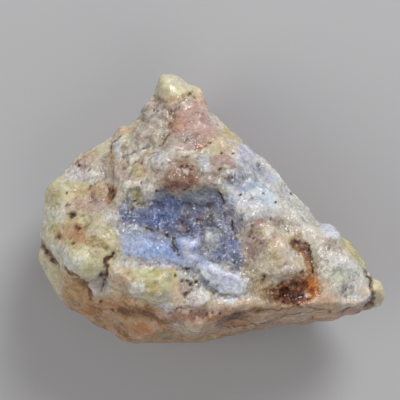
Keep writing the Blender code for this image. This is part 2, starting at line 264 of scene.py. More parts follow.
NOISE_CELLS = 48  # after this many cells a noise repeats
PATCH_EDGE = (4, 0.25)  # how much finer than the patch its ragged edge is, and how strong

mineral_index = {name: number + 1 for number, name in enumerate(MINERALS)}
in_sight = smooth_step(*IN_SIGHT, outward[:, 2])
share = np.zeros((len(points), len(MINERALS) + 1))  # of each mineral at each vertex, after the cream's
share[:, 0] = 1.0


def cover(mineral, amount):
    """Lays a mineral over what is there, to this amount at each vertex."""
    share[:] = share * (1.0 - amount)[:, None]
    share[:, mineral_index[mineral]] += amount


def drift(points, size, seed=0):
    """Three smooth noises, -1 to 1, that vary over this size in mm."""
    lattice = np.random.default_rng(seed).uniform(-1.0, 1.0, (NOISE_CELLS, NOISE_CELLS, NOISE_CELLS, 3))
    cell = np.floor(points / size).astype(int)
    t = smooth_step(0.0, 1.0, points / size - cell)
    total = np.zeros_like(points)
    for corner in itertools.product((0, 1), repeat=3):
        weight = np.prod(np.where(np.array(corner, bool), t, 1.0 - t), axis=1)
        total += weight[:, None] * lattice[tuple(((cell + corner) % NOISE_CELLS).T)]
    return total


def patches(size, low, high, seed):
    """Ragged patches of this size in mm, from 0 where their noise is low to 1 where it is high."""
    finer, ragged = PATCH_EDGE
    level = drift(points, size, seed)[:, 0] + ragged * drift(points, size / finer, seed)[:, 1]
    return smooth_step(low, high, level)


# The sides and the back, which are not seen from above, have the same minerals in larger
# patches: the mineral, their size in mm, the noise where they start and where they are full,
# and how fully they cover what lies under them.
BACK_ZONES = [
    ("celery", 19.0, 0.05, 0.5, 0.8),
    ("tan", 23.0, 0.0, 0.4, 0.85),
    ("milk", 15.0, 0.1, 0.5, 0.8),
    ("ash", 11.0, 0.15, 0.5, 0.7),
    ("rose", 13.0, 0.2, 0.5, 0.7),
    ("sky", 14.0, 0.3, 0.55, 0.8),
    ("olive", 8.0, 0.3, 0.6, 0.6),
    ("umber", 6.0, 0.5, 0.65, 0.9),
]
for seed, (mineral, size, low, high, strength) in enumerate(BACK_ZONES):
    cover(mineral, strength * patches(size, low, high, seed) * (1.0 - in_sight))


# The zones of mineral on the face, laid from the ground up; a few, said so by name or comment,
# are painted shade or painted light laid in a mineral's colours. Each area has a mineral, how fully
# it covers what lies under it, how far it stands proud in mm, and its outline in mm as the
# camera sees it at the level of the rim.
AREAS = {
    # the broad grounds
    "left ground": ("celery", 0.55, 0, [(-50, 8), (-30, 7), (-25, -5), (-27, -20), (-50, -18)]),
    "upper left ground": ("milk", 0.25, 0, [(-42, 8), (-27, 23), (-12, 18), (-13, 5), (-26, 4), (-36, 7)]),
    "brow ground": ("ash", 0.5, 0, [(-16, 17), (-6, 19), (6, 9), (0, 6), (-14, 6)]),
    "right ground": ("milk", 0.5, 0, [(6, 16), (14, 14), (32, -4), (24, -8), (8, -4), (3, 6)]),
    "tip ground": ("milk", 0.5, 0, [(29, -4), (35, -5), (50, -22), (44, -28), (30, -26), (28, -12)]),
    "under the shelf": ("fog", 0.5, 0, [(-12, -14.5), (2, -15), (12, -18), (10, -24), (-8, -24), (-10, -18)]),
    # the band's tan is partly the stone's own colour and partly painted shade and warm reflected light on the
    # down-facing near side
    "lower band": ("tan", 0.85, 0, [
        (-48, -26), (-38, -26), (-33, -25), (-28, -25), (-22, -26), (-14, -29), (-4, -29.6), (8, -28.4),
        (30, -26.5), (46, -28), (46, -33), (-48, -44),
    ]),
    # the left shoulder and chin
    "shoulder": ("celery", 0.9, 0.2, [
        (-47, 5), (-43.5, 8), (-40, 8.8), (-36.6, 6.4), (-38, 3.6), (-41, 0), (-46.6, 0),
    ]),
    "pale cheek": ("milk", 0.6, 0, [(-45, 0), (-41, 0.4), (-39.6, -1.6), (-41, -4.4), (-45, -4)]),
    "peach patch": ("tan", 0.4, 0, [
        (-43.6, -4.4), (-39, -3.2), (-36, -3.4), (-34.6, -6), (-35.4, -9.8), (-40, -10.2), (-43, -8.6),
    ]),
    "bright lobe": ("celery", 0.95, 0.2, [
        (-34, -5.6), (-30.4, -4.6), (-26.6, -5.4), (-24.8, -8), (-26.2, -11), (-28.8, -12), (-31, -8.6),
    ]),
    # painted shade under the shoulder, laid in olive
    "olive shade under the shoulder": ("olive", 0.8, -0.2, [
        (-35.8, -9.2), (-32.6, -7.2), (-29.4, -9.6), (-29.2, -11.6), (-31.6, -10.8), (-35, -10.2),
    ]),
    "chin": ("celery", 0.95, 0.2, [
        (-38.8, -10.6), (-35.4, -10.2), (-31.6, -11.2), (-28.4, -12.4), (-29.8, -15), (-30.8, -17.4),
        (-33.4, -19.2), (-36.6, -18.8), (-39.2, -17), (-40.8, -15.4), (-39.6, -12.6),
    ]),
    "chin's rough side": ("milk", 0.8, 0, [
        (-44.6, -9), (-41.6, -10.6), (-39.4, -13), (-40.8, -15.6), (-43.4, -13.4), (-45.4, -11),
    ]),
    "rose flush": ("rose", 0.8, 0, [
        (-37, 2.6), (-34, 3.4), (-30, 3), (-28.6, 0.4), (-31, -1.2), (-35.4, -0.8), (-37.4, 0.6),
    ]),
    "tan over the flush": ("tan", 0.45, 0, [
        (-39.4, 4.4), (-35, 5.8), (-30.6, 6.6), (-29.4, 5.6), (-30, 4), (-36, 3.6), (-39.6, 1.2),
    ]),
    # the upper left rim
    "pink rim": ("rose", 0.6, 0.1, [
        (-38.8, 11), (-36.4, 13.6), (-34.4, 15.2), (-31, 14.8), (-32.4, 13.2), (-34.6, 12), (-36, 10.8),
    ]),
    # painted light: frost laid on a band that the lamps leave in shade
    "cream band": ("frost", 0.8, 0, [(-39.6, 10.6), (-36.6, 10.6), (-34, 9.8), (-34.4, 8), (-38, 8)]),
    "lilac wedge": ("ash", 0.5, 0, [(-34.6, 10.6), (-33, 13.4), (-31.6, 12.6), (-31, 10), (-33, 9.6)]),
    "white wedge": ("milk", 1, 0.2, [
        (-35.6, 9.6), (-33, 10.2), (-31, 10), (-31.2, 7.6), (-33, 6.8), (-35, 7.8),
    ]),
    "celery crest": ("celery", 0.8, 0, [
        (-33.4, 15.4), (-30, 18), (-27, 22.4), (-24.6, 22.6), (-27, 19.6), (-29.4, 16.4), (-31, 14.6),
    ]),
    "tan crest": ("peach", 0.9, 0, [(-26.6, 22.4), (-23, 22.4), (-21, 21.4), (-22.4, 20.4), (-26, 20.6)]),
    "ash trough": ("ash", 0.8, 0, [(-31, 14), (-28.4, 16), (-27.6, 12), (-28.6, 7.6), (-30.4, 8), (-31, 11)]),
    "grey strip": ("lilac", 0.65, 0.1, [
        (-27.6, 18.8), (-25.4, 18.6), (-25.2, 14.8), (-26.6, 13.8), (-27.4, 16),
    ]),
    # painted shade beside the grey strip, laid in ash
    "strip in shade": ("ash", 0.8, -0.1, [(-25.2, 18), (-23.4, 17), (-23.2, 13.8), (-24.8, 13.2)]),
    "pink ridge": ("rose", 0.8, 0.1, [(-27.4, 12.6), (-25, 13), (-23, 10), (-23.4, 7), (-26, 7.4), (-28, 9)]),
    "pale brow": ("milk", 0.75, 0.1, [
        (-23.6, 15.6), (-20, 17.6), (-16, 16.4), (-12.4, 15), (-13.2, 12.4), (-16, 13.2), (-19, 12.6),
        (-23, 12.8),
    ]),
    "tan brow": ("peach", 0.7, 0, [(-21.4, 13), (-18.8, 13.2), (-18.4, 9.4), (-20, 8.4), (-21.8, 9.6)]),
    "white crest": ("milk", 0.45, 0.1, [
        (-25, 8), (-23, 8), (-22.6, 5), (-23.4, 2.6), (-25.6, 2.6), (-25.6, 5),
    ]),
    "dark dip": ("slate", 0.8, 0, [
        (-23, 4.6), (-20.4, 6.6), (-18.6, 4.4), (-18.6, 1.6), (-20.6, 0.4), (-22.6, 1),
    ]),
    "olive dip": ("olive", 0.7, -0.1, [(-22.4, 4.6), (-20.4, 6.4), (-19.6, 3.4), (-20.8, 1), (-22.2, 1.2)]),
    "tan dip": ("olive", 0.5, 0, [(-21, 4.4), (-18.8, 4), (-18.8, 1.6), (-20.4, 0.6), (-21.2, 2)]),
    "lilac knob": ("lilac", 0.3, 0.1, [(-20, 8), (-17, 7.6), (-16.4, 5.6), (-18.4, 4.8), (-20, 5.8)]),
    "rusty hollow": ("rust", 0.8, -0.3, [
        (-29.2, 6.2), (-27.6, 6.9), (-26.8, 5), (-27.1, 2.4), (-28.2, 1.2), (-29, 2.8), (-29, 5),
    ]),
    # the knob and what is under it
    "knob": ("wax", 1, 0.35, [
        (-15.6, 37), (-12.6, 39), (-8, 37.4), (-3.4, 35.4), (-2.6, 32.4), (-5.6, 30.6), (-9, 30),
        (-10.4, 28.4), (-12, 28), (-13.4, 29.6), (-15.4, 31.6),
    ]),
    "knob's foot": ("ash", 0.45, 0, [
        (-14.8, 33), (-12, 33.4), (-10, 31.4), (-10.6, 28), (-12.6, 27), (-14, 29),
    ]),
    "grey hollow": ("ash", 0.9, 0, [
        (-19.8, 28), (-16, 30.6), (-13.4, 29), (-11.6, 26), (-12.6, 23.4), (-19, 23), (-20.8, 25.4),
    ]),
    "knot": ("ash", 0.5, 0.1, [
        (-21, 20), (-18.4, 22.8), (-14.4, 22.6), (-13.4, 20.4), (-15.6, 17.4), (-18, 17), (-21.4, 18),
    ]),
    "knot's shade": ("ash", 1, 0, [
        (-14, 22.4), (-12.6, 24.6), (-10.9, 24.4), (-10.8, 20.4), (-14.2, 17), (-15.4, 17), (-13.6, 19.6),
    ]),
    # a brown crease and the painted shade of the groove, laid in russet
    "brown strip in the groove's shade": ("russet", 0.9, 0, [
        (-11.8, 27.6), (-10.2, 28.4), (-9.6, 24), (-10.4, 21), (-11.2, 21.6), (-11.4, 25),
    ]),
    "pink face": ("rose", 0.95, 0, [
        (-10.2, 27.6), (-8, 28.6), (-4, 30), (-1, 29), (1, 26), (1.4, 22), (0.6, 18.6), (-3, 16),
        (-5.6, 16.2), (-8.6, 18.4), (-10.6, 20.4), (-10.6, 24),
    ]),
    "salmon side": ("tan", 0.28, 0, [(-10.4, 25.6), (-8.4, 25.8), (-7.2, 22.6), (-8.4, 20.8), (-10.6, 21)]),
    "face's grey foot": ("ash", 0.85, 0, [
        (-9.8, 20.6), (-5.4, 21.4), (-3.6, 18.6), (-5.4, 16.6), (-8.8, 18.4),
    ]),
    "cream saddle": ("milk", 0.4, 0.1, [
        (-15, 17.4), (-10.6, 19.6), (-8.2, 18), (-5.2, 16), (-6, 14.6), (-9, 15), (-12.6, 14.4),
        (-15.6, 15.6),
    ]),
    "lilac saddle": ("rose", 0.5, 0, [(-10.4, 18), (-8, 18), (-6, 15.8), (-8, 15.2), (-10.6, 15.8)]),
    "peach rim": ("peach", 0.55, 0, [(1, 24), (5, 22.4), (8, 18.6), (6.8, 15.2), (1.4, 15.4), (0.8, 18.4)]),
    "lilac flat": ("lilac", 0.5, 0, [(-4.2, 14.6), (-0.6, 15), (0, 11.4), (-1.4, 9.2), (-3.6, 10)]),
    "rose pad": ("rose", 1, 0, [
        (-0.4, 14.8), (3, 15.2), (6, 14), (6.2, 12.2), (4.4, 10.8), (1.2, 10.4), (-0.4, 12),
    ]),
    "pink lump": ("brick", 0.95, 0.1, [
        (-13.6, 5.2), (-14, 7.4), (-13, 9.6), (-11.4, 11.2), (-9.6, 13), (-7.2, 13.4), (-5.2, 12.4),
        (-3.8, 10.4), (-3.4, 8), (-3.4, 5.8), (-6, 4.8), (-10, 4.6),
    ]),
    # the blue pocket and the shelf
    "round the shelf": ("fog", 0.95, 0, [
        (-25, -4), (-20, -4), (-14, -6), (-6, -7), (3, -4), (5.4, -10), (8.6, -18), (1, -16.4), (-10, -15.4),
        (-24, -13.6), (-24.4, -8),
    ]),
    "pocket": ("slate", 1, -0.1, [
        (-26.4, -1.6), (-25.8, 1), (-23.6, 2.4), (-21.6, 0.4), (-19, 0.4), (-17.6, 2), (-16, 3.8),
        (-13.6, 4.8), (-11, 4.4), (-8, 3.8), (-5, 4.2), (-3, 5), (-1.2, 6.2), (1, 6), (2.8, 4.6), (4.2, 2),
        (4.2, -2.4), (3, -2.4), (-0.4, -1), (-2.2, -2), (-2.6, -5), (-2.8, -7.8), (-9.6, -8.2), (-12.6, -7.8),
        (-14, -6.6), (-17, -5.6), (-20, -4.8), (-24.8, -3.8),
    ]),
    "blue heart": ("indigo", 0.7, 0, [
        (-18.6, 0), (-16.6, 1.6), (-14, 2.4), (-11, 3), (-9, 1.4), (-9.8, -2), (-10.6, -4), (-12, -6),
        (-15, -5.6), (-18, -4.4), (-21.4, -4.6), (-22.6, -3.2), (-22, -1.2), (-20, -1),
    ]),
    "deep blue": ("navy", 1, 0, [
        (-17.4, -2.4), (-14.6, -1.6), (-11.4, -0.6), (-11.4, -3.6), (-13, -5.2), (-16.6, -4.8),
    ]),
    "violet end": ("violet", 0.6, 0, [(-23, -1), (-19.6, -0.4), (-17.8, -1.6), (-19, -3.4), (-22.4, -3.8)]),
    "behind the pebble": ("slate", 0.95, 0, [
        (-2.4, -1.4), (0, -0.8), (2.6, -1.8), (4, -3), (3.8, -12), (1, -12.4), (-2.2, -11.6), (-2.8, -7),
    ]),
    "olive saddle": ("olive", 0.15, 0, [
        (-2.2, -1.8), (0, -1.2), (2.4, -2.2), (3.2, -4), (3, -6), (0, -5.8), (-2.2, -5.8),
    ]),
    "grey lip": ("fog", 1, 0.1, [
        (-28, -4.2), (-24, -4.6), (-20, -5), (-17.6, -6), (-14, -7.2), (-12.2, -8.2), (-13.6, -9),
        (-17, -7.8), (-21, -7.6), (-24.8, -7.2), (-27.4, -5.8),
    ]),
    "shelf": ("sky", 1, 0.1, [
        (-24.4, -7.6), (-21, -7.4), (-16.6, -7.6), (-14.4, -9.2), (-11.8, -9.6), (-10.8, -11.6),
        (-9.4, -13.4), (-9.6, -14.8), (-14, -14.8), (-18.5, -14.4), (-21.5, -13), (-24.6, -12.4),
    ]),
    "shelf block": ("sky", 0.9, 0.2, [
        (-9.6, -8.2), (-4.2, -8), (-3.6, -9.6), (-4.4, -12.6), (-8.6, -12.4), (-9.4, -10),
    ]),
    "block's side": ("violet", 0.5, 0, [(-4, -8.4), (-2.2, -8.6), (-1.8, -12), (-0.6, -14), (-3.8, -13)]),
    "pebble": ("fog", 0.9, 0.3, [
        (-1.8, -6), (0.6, -5.6), (3, -6.4), (3.4, -9), (2.2, -11.4), (-0.4, -11.6), (-1.8, -9.6),
    ]),
    "pebble's shade": ("slate", 0.45, 0, [(1.6, -6.4), (3.2, -6.4), (3.6, -9.4), (2.2, -11.4), (1.4, -9.4)]),
    "sky foot": ("violet", 0.8, 0, [(0.6, -12), (2.6, -11.2), (4.6, -13), (4.2, -15.4), (0.8, -14.6)]),
    "violet vein": ("violet", 1, -0.1, [
        (4.4, 3.6), (6.4, 4), (6.6, 1.6), (5.6, -1), (5.4, -4), (5.6, -8), (7.8, -8.4), (8.4, -11),
        (8.8, -15), (8.4, -17.4), (6, -16.8), (4.6, -14.6), (4, -11), (3.2, -7), (3.2, -3.6), (4, -1),
    ]),
    "vein's dark foot": ("slate", 0.5, -0.1, [
        (5.6, -12.4), (8, -12.6), (8.8, -15.6), (8, -17.4), (6.2, -16.6), (5.2, -14.4),
    ]),
    "strip under the block": ("sky", 0.9, 0.1, [
        (-9.2, -12.9), (-4.4, -12.9), (-2, -14.2), (0.6, -15.6), (-2, -16.2), (-6, -15), (-10, -15),
    ]),
    "tongue": ("frost", 0.8, 0.3, [
        (-3.4, -15.2), (0, -15.8), (4, -17.6), (8, -18.2), (10.2, -20), (9.6, -22.6), (7, -23.6), (3, -23.6),
        (0.8, -22.4), (-0.4, -20), (-2.4, -18.6), (-4, -16.6),
    ]),
    "tongue's white end": ("frost", 1, 0, [
        (-1, -16.6), (3.6, -18), (8.4, -18.8), (9.8, -20.6), (8, -22.6), (5.6, -21.6), (2, -20),
    ]),
    "notch": ("slate", 0.6, 0, [
        (-8.6, -16.4), (-5, -16), (-2.8, -17.8), (-2.4, -19.4), (-5, -18.6), (-8.2, -17.6),
    ]),
    "grey foot": ("slate", 0.6, 0, [(-3.4, -20), (0, -19.8), (0.4, -21.6), (-1.6, -22.2), (-3.4, -21.2)]),
    # right of the pocket
    "green grey": ("ash", 1, 0, [(-2.4, 8.6), (0, 10), (3.4, 10), (4, 8.4), (1, 6.6), (-2, 6.8)]),
    "white corner": ("milk", 0.6, 0.1, [
        (1, 7.6), (3, 7.2), (4.4, 5.6), (9, 5.4), (7, 4), (4.6, 4.2), (3, 5),
    ]),
    "slate block": ("fog", 0.9, 0, [
        (6.6, 12.6), (9, 13), (13.6, 12.4), (15, 10.4), (12, 9.2), (9, 8.6), (8.8, 6.4), (4.4, 6), (3.8, 8),
        (6.6, 9.8),
    ]),
    "lilac block": ("lilac", 0.5, 0, [(7, 12.6), (14, 12.6), (16.6, 10), (12, 9.4), (8.6, 10)]),
    "white block": ("lilac", 0.9, 0.1, [
        (6.6, 17), (9.4, 18.4), (12, 16.4), (15, 13.6), (14.6, 12.6), (10, 13), (6.8, 13),
    ]),
    "blue strip": ("sky", 0.45, 0.1, [
        (8.8, 7.8), (12, 8.8), (16.6, 9.8), (17.8, 7.8), (17, 6.4), (10, 6.4), (8.6, 6.4),
    ]),
    "sky ledge": ("frost", 0.6, 0, [
        (5, 5.2), (9, 6), (17.2, 6.2), (18.6, 4), (18.6, 0), (16.6, -1.2), (14, 0.6), (13.4, 3.2), (10, 3.6),
        (6, 3.4),
    ]),
    "milk field": ("lilac", 0.7, 0, [
        (7, 3), (13.4, 3.2), (13.6, 0.6), (16.6, -1.4), (18.8, -0.6), (18, -2.6), (14.6, -2.4), (11.4, -3.2),
        (9, -4.8), (8.8, -1), (6.8, 0.4),
    ]),
    "bump": ("fog", 0.85, 0.2, [(5.8, -0.4), (8.4, -0.4), (9.2, -3.6), (8.6, -6.6), (6, -6.6), (5.8, -3.6)]),
    "creamy slope": ("milk", 0.5, 0, [
        (19.4, 5), (22, 4), (26, 0.6), (30.4, -4.6), (30.6, -8.4), (26, -9), (24, -6.4), (21, -3), (19, 0),
    ]),
    "white hump": ("frost", 0.8, 0.2, [
        (29.4, -3.8), (32, -3), (34.6, -5), (36, -8.4), (32.6, -8.4), (30.4, -6.6),
    ]),
    "wall": ("ash", 1, 0, [
        (9, -5), (11, -4.6), (15, -6.6), (15.8, -10), (13.8, -14), (12, -16.6), (9.4, -17.6), (8.8, -14),
        (8.8, -9),
    ]),
    "wall's peach": ("peach", 0.35, 0.1, [
        (15, -5.2), (18.6, -5.4), (22, -9), (22.6, -10.8), (25.6, -14.8), (26, -17), (21, -16), (16.6, -15.4),
        (15.4, -10),
    ]),
    "wall's pale foot": ("ash", 0.5, 0.1, [
        (15.4, -16.4), (19, -15.8), (24.4, -17), (23.4, -18.8), (19, -19.6), (15.6, -19.4),
    ]),
    "olive crook": ("ash", 0.9, 0, [
        (9.6, -17.4), (12.4, -16.6), (15, -18), (14.4, -21), (13.4, -25), (10.6, -23), (10.6, -20),
    ]),
    # the right plane and the tip
    "right plane": ("milk", 0.85, 0.1, [
        (30.6, -11.6), (34.6, -11.6), (37, -12.6), (41.6, -17.4), (43.2, -20.6), (43.6, -25.4), (40, -27.4),
        (36, -27.6), (34.8, -25), (33, -20), (30.4, -17.6), (29.8, -14),
    ]),
    "cream foot": ("peach", 0.65, 0, [(29.8, -19.6), (33, -20.4), (35, -25.4), (30, -26.4), (29, -24)]),
    "grey smudge": ("ash", 0.85, -0.1, [(31.4, -12), (31, -10.2), (33, -8.8), (36.6, -10), (36.6, -12)]),
    "yellow edge": ("lemon", 0.8, 0, [
        (36.2, -7.6), (38.8, -9), (41.6, -12.6), (43, -17), (40.6, -15), (38, -12.2), (36.6, -10.4),
    ]),
    "tip": ("wax", 0.9, 0, [
        (43.6, -17.2), (46.6, -18.6), (49.4, -22.6), (48.6, -27), (45.2, -28.6), (44.8, -25), (44.6, -21),
    ]),
    # iron stains
    "brown halo": ("russet", 0.95, -0.1, [
        (13.6, -21.8), (16.4, -21.2), (20.6, -20), (21, -23.4), (18.6, -26), (13.8, -24.8),
    ]),
    "iron spot": ("rust", 1, -0.15, [
        (19.4, -20.8), (23, -19.8), (24.6, -18.4), (27, -18.4), (29.2, -19.4), (29.6, -22), (29.2, -24.6),
        (27, -26.2), (24, -27), (20.6, -26.8), (17.4, -25.8), (17.6, -23),
    ]),
    "iron core": ("umber", 0.75, -0.1, [
        (20.4, -21.4), (23.4, -20.2), (25.2, -21.6), (25.4, -24.4), (24.6, -26.4), (20.6, -26.6), (18, -25.6),
        (19.2, -23.6),
    ]),
    "orange side": ("ochre", 1, 0, [
        (26.4, -19.8), (28.8, -19.8), (29.4, -22), (28.8, -25), (27.2, -24.8), (26.4, -22.4),
    ]),
    "rusty vein": ("rust", 0.7, -0.2, [
        (22, -10), (23, -8.8), (24.8, -9.2), (26.6, -10.6), (28, -13.4), (28.8, -16), (29.2, -19),
        (27, -18.8), (26.6, -16.6), (25.6, -14), (24, -12.2),
    ]),
    "vein's orange head": ("russet", 0.8, 0, [(23.2, -6.8), (24.4, -6.8), (25.2, -9), (22.8, -9.2)]),
    # below the shelf
    "green lump": ("celery", 1, 0.2, [
        (-22.4, -17.2), (-18, -16.2), (-13, -16.4), (-9.8, -17.8), (-9.6, -21), (-8.8, -24), (-10, -26.2),
        (-14.4, -27), (-18, -25.6), (-22, -25.2), (-23.4, -22.6), (-23.4, -19.6),
    ]),
    "olive heart": ("olive", 0.75, 0, [
        (-18.6, -20.6), (-15, -20.4), (-12.6, -22.4), (-13, -25.6), (-17.6, -24.6),
    ]),
    "sparkling side": ("milk", 0.85, 0, [
        (-23, -20.4), (-20, -20), (-18.6, -22.4), (-19.4, -24.6), (-22.8, -24.6),
    ]),
    "rough rose": ("peach", 0.85, 0.25, [
        (-28.6, -16), (-24, -16.4), (-22.8, -19), (-23.4, -22.8), (-26.8, -22.6), (-28.8, -19),
    ]),
    # a pale seam with a painted highlight along its lit edge
    "lit white seam": ("lilac", 0.6, 0.1, [
        (-27, -14.6), (-20, -15.2), (-13, -15), (-10.6, -16), (-13, -16.8), (-20, -16.6), (-25, -16.2),
    ]),
    # partly painted shade of a slope that faces down, laid in tan
    "tan cheek": ("tan", 0.75, 0, [
        (-42, -17.6), (-38.6, -19), (-35.4, -20.6), (-33.8, -23.6), (-32.6, -28), (-37, -29.4), (-41, -27),
        (-42.4, -22),
    ]),
    "lilac lobe": ("lilac", 0.45, 0.3, [
        (-33.6, -19), (-31.6, -17.6), (-28.6, -19), (-27.6, -22), (-29.4, -25), (-32.4, -24.8), (-33.8, -22),
    ]),
    "cream slope": ("peach", 0.6, 0, [
        (-28, -22), (-22, -24.4), (-16, -26), (-11, -27.4), (-13, -29), (-20, -27.8), (-26, -26), (-30, -24),
    ]),
    "peach slope": ("tan", 0.55, 0, [
        (-29.6, -25.4), (-26, -25), (-22, -26.4), (-17, -27.6), (-13, -29.4), (-15, -31), (-20, -28.8),
        (-26, -28.8),
    ]),
    "milk block": ("milk", 0.75, 0.2, [
        (-6.8, -24.6), (-5, -22.2), (-2.4, -21.8), (-0.6, -23.6), (-0.8, -26.2), (-3.4, -27.6), (-7.2, -27.2),
    ]),
    "milk knob": ("milk", 0.8, 0.2, [(-10.2, -17.6), (-7.6, -17.8), (-7.4, -19.6), (-9.4, -19.8)]),
    "rose pocket": ("rose", 0.4, 0, [(-9.4, -20.6), (-7, -21.4), (-7, -25), (-9.6, -25.6)]),
    "pale ridge": ("rose", 0.6, 0.1, [
        (0.6, -25.2), (4, -24.2), (9, -24.4), (13.4, -23), (12.8, -25.6), (8, -27.2), (2, -27.8), (-1, -27.8),
    ]),
    "grey under the lumps": ("brick", 0.35, 0, [
        (-13, -27), (-7, -27.6), (0, -27.8), (9, -27.4), (9, -30), (-4, -30.8), (-12, -31),
    ]),
    "pink under the lumps": ("rose", 0.7, 0, [
        (-14.4, -28), (-10, -26.6), (-7, -28), (-9, -30.4), (-13, -31),
    ]),
    "grey knob": ("ash", 0.7, 0.2, [
        (-8.8, -31), (-5, -30), (-2.4, -32), (-3, -34.4), (-6, -35), (-8.8, -33.4),
    ]),
    "olive cheek": ("celery", 0.5, 0, [
        (-50, -12), (-46.6, -14), (-43.4, -17), (-42.4, -20), (-41.4, -26), (-46, -26), (-50, -18),
    ]),
    "foot of the right side": ("peach", 0.75, 0, [
        (9.6, -27), (14, -25.8), (19, -27.6), (24, -28), (30, -26.2), (35, -26.4), (35, -28.6), (30, -30),
        (22, -31.4), (12, -32),
    ]),
}
CRISP = 0.5  # mm, how far to each side of its outline an area fades when it stands out
SOFT = 0.28  # the same for an area flush with the ground, as a share of its width
SOFTEST = 2.0  # mm, the most that an outline fades
FLUSH = 0.15  # mm, how far from the ground an area still counts as flush
RISE = (-0.6, 0.4)  # mm inside the outline, where an area starts to rise and where it is level
BORDER_SWAYS = ((1.8, 0.6), (0.9, 0.4))  # how borders waver: the size and reach of each noise, in mm

# On the steep near side, which the camera sees only from above, its colours drift in smaller
# patches, given as for the back, and its height in long low waves.
BAND_PATCHES = [
    ("peach", 7.0, -0.1, 0.6, 0.4),
    ("olive", 6.0, 0.0, 0.6, 0.3),
    ("ash", 5.0, 0.1, 0.6, 0.25),
    ("russet", 4.0, 0.2, 0.7, 0.4),
    ("milk", 3.4, 0.3, 0.7, 0.2),
]
BAND_SEED = 31  # of the first patches, and 1 more for each of the next
BAND_FADE = 2.0  # mm, how far to each side of its outline the band fades
WAVES = (7.0, 41)  # their size in mm, and a seed
WAVE_HEIGHT = 0.5  # mm


def swayed(sways):
    """Where the camera sees each vertex, moved aside by noises of a size and a reach in mm."""
    moved = steady
    for size, reach in sways:
        moved = moved + drift(points, size)[:, :2] * reach
    return moved


def distance_to_line(places, corners):
    """How far each place is from a line through these corners, in mm."""
    nearest = np.full(len(places), np.inf)
    line = np.array(corners, float)
    for start, end in zip(line[:-1], line[1:]):
        run = end - start
        away = places - start
        along = np.clip(away @ run / (run @ run), 0.0, 1.0)
        gap = away - along[:, None] * run
        nearest = np.minimum(nearest, np.hypot(gap[:, 0], gap[:, 1]))
    return nearest


def inside(places, corners):
    """How far each place is inside an outline, in mm, and less than 0 outside."""
    line = np.array(corners, float)
    within = np.zeros(len(places), bool)
    for (ax, ay), (bx, by) in zip(line, np.roll(line, -1, axis=0)):
        if ay != by:
            level = (places[:, 1] > ay) != (places[:, 1] > by)
            within ^= level & (places[:, 0] < ax + (places[:, 1] - ay) * (bx - ax) / (by - ay))
    gap = distance_to_line(places, [*corners, corners[0]])
    return np.where(within, gap, -gap)


steady = seen(points)
border = swayed(BORDER_SWAYS)
lift = np.zeros(len(points))
for name, (mineral, strength, raised, corners) in AREAS.items():
    depth = inside(border, corners)
    fade = CRISP if abs(raised) > FLUSH else min(max(SOFT * np.ptp(corners, axis=0).min(), CRISP), SOFTEST)
    cover(mineral, strength * in_sight * smooth_step(-fade, fade, depth))
    lift += raised * in_sight * smooth_step(*RISE, depth)
    if name == "lower band":
        band = in_sight * smooth_step(-BAND_FADE, BAND_FADE, depth)
        for seed, (patch, size, low, high, amount) in enumerate(BAND_PATCHES, BAND_SEED):
            cover(patch, amount * band * patches(size, low, high, seed))
lift += WAVE_HEIGHT * band * drift(points, *WAVES)[:, 0]

# The rounded lobes between the breaks: each oval as in WORN, and how far it stands up in mm.
LOBES = {
    "grey hollow": (-16.8, 26.6, 7, 6, 20, 0.6), "knot": (-18.8, 20.6, 5, 3.6, 20, 0.5),
    "knot's side": (-15.4, 19.6, 4, 4, 0, 0.4), "saddle": (-9.6, 17, 7, 3.4, 0, 0.5),
    "brow": (-17.6, 15, 6, 3.4, 10, 0.7), "brow's left": (-21.6, 13.8, 3.6, 3, 0, 0.6),
    "brow's foot": (-20.4, 10.4, 3.4, 4, 0, 0.4), "pink ridge": (-25.8, 10, 3.4, 5, 0, 0.7),
    "white crest": (-24, 5.6, 2.8, 5, 0, 0.6), "left of the lump": (-15.4, 12.4, 4, 3.4, 0, 0.6),
    "below it": (-16, 8.2, 4.4, 3, 10, 0.6), "wedge": (-33.2, 8.8, 5, 3.4, 0, 0.6),
    "pink rim": (-34.6, 13.4, 5, 2.6, 25, 0.6), "pink lump": (-8.4, 8.8, 10, 7.8, 0, 0.6),
    "rose pad": (3, 12.8, 6, 4.2, 0, 0.4), "lilac flat": (-2.4, 12.4, 4, 5, 0, 0.35),
    "face's foot": (-4.4, 19, 6, 4, 20, 0.4), "milk field": (11.6, 0.8, 7, 4, -10, 0.4),
    "slate block": (8.6, 10.4, 6, 3.6, 0, 0.35), "wall's top": (14.2, -7.8, 4, 4, 0, 0.4),
    "wall's lump": (19.6, -12.6, 9, 6, -35, 0.6), "wall's foot": (19.4, -17.8, 8, 3, 5, 0.35),
    "right plane": (35, -15.4, 9, 6, -40, 0.4), "rough rose": (-25.6, -19, 5, 5, 0, 0.6),
    "sparkling side": (-21, -22.4, 4.4, 4, 0, 0.6), "lump's heart": (-15.4, -23.4, 6, 3, -10, 0.4),
    "rose's foot": (-27.4, -23.6, 6, 3.4, -35, 0.6), "lip": (-21, -26.8, 10, 2.6, -22, 0.5),
    "lip's end": (-12.4, -30.4, 6, 2.2, -25, 0.4), "lower lip": (-33.6, -25.6, 8, 3, -40, 0.5),
    "foot of the chin": (-40.4, -18.6, 6, 3.4, -40, 0.5), "green lump": (-14.8, -19, 8, 4, 0, 0.7),
    "milk block's left": (-11.8, -27.4, 4.4, 3, -20, 0.6), "grey knob": (-5.6, -32.6, 6, 3, 0, 0.4),
    "chin": (-36.4, -14.4, 8, 6, -20, 0.7), "shoulder": (-42.4, 3.8, 8, 7, 0, 0.6),
    "bright lobe": (-29.4, -7.8, 9, 7, -20, 0.3), "spotted pad": (-38.6, -4.4, 7, 6, -20, 0.4),
}
LOBE_FADE = (0.45, 1.1)  # where a lobe starts to fall and where it ends, 1 being on the oval

for *oval, height in LOBES.values():
    lift += height * in_sight * (1.0 - smooth_step(*LOBE_FADE, across_oval(border, *oval)))
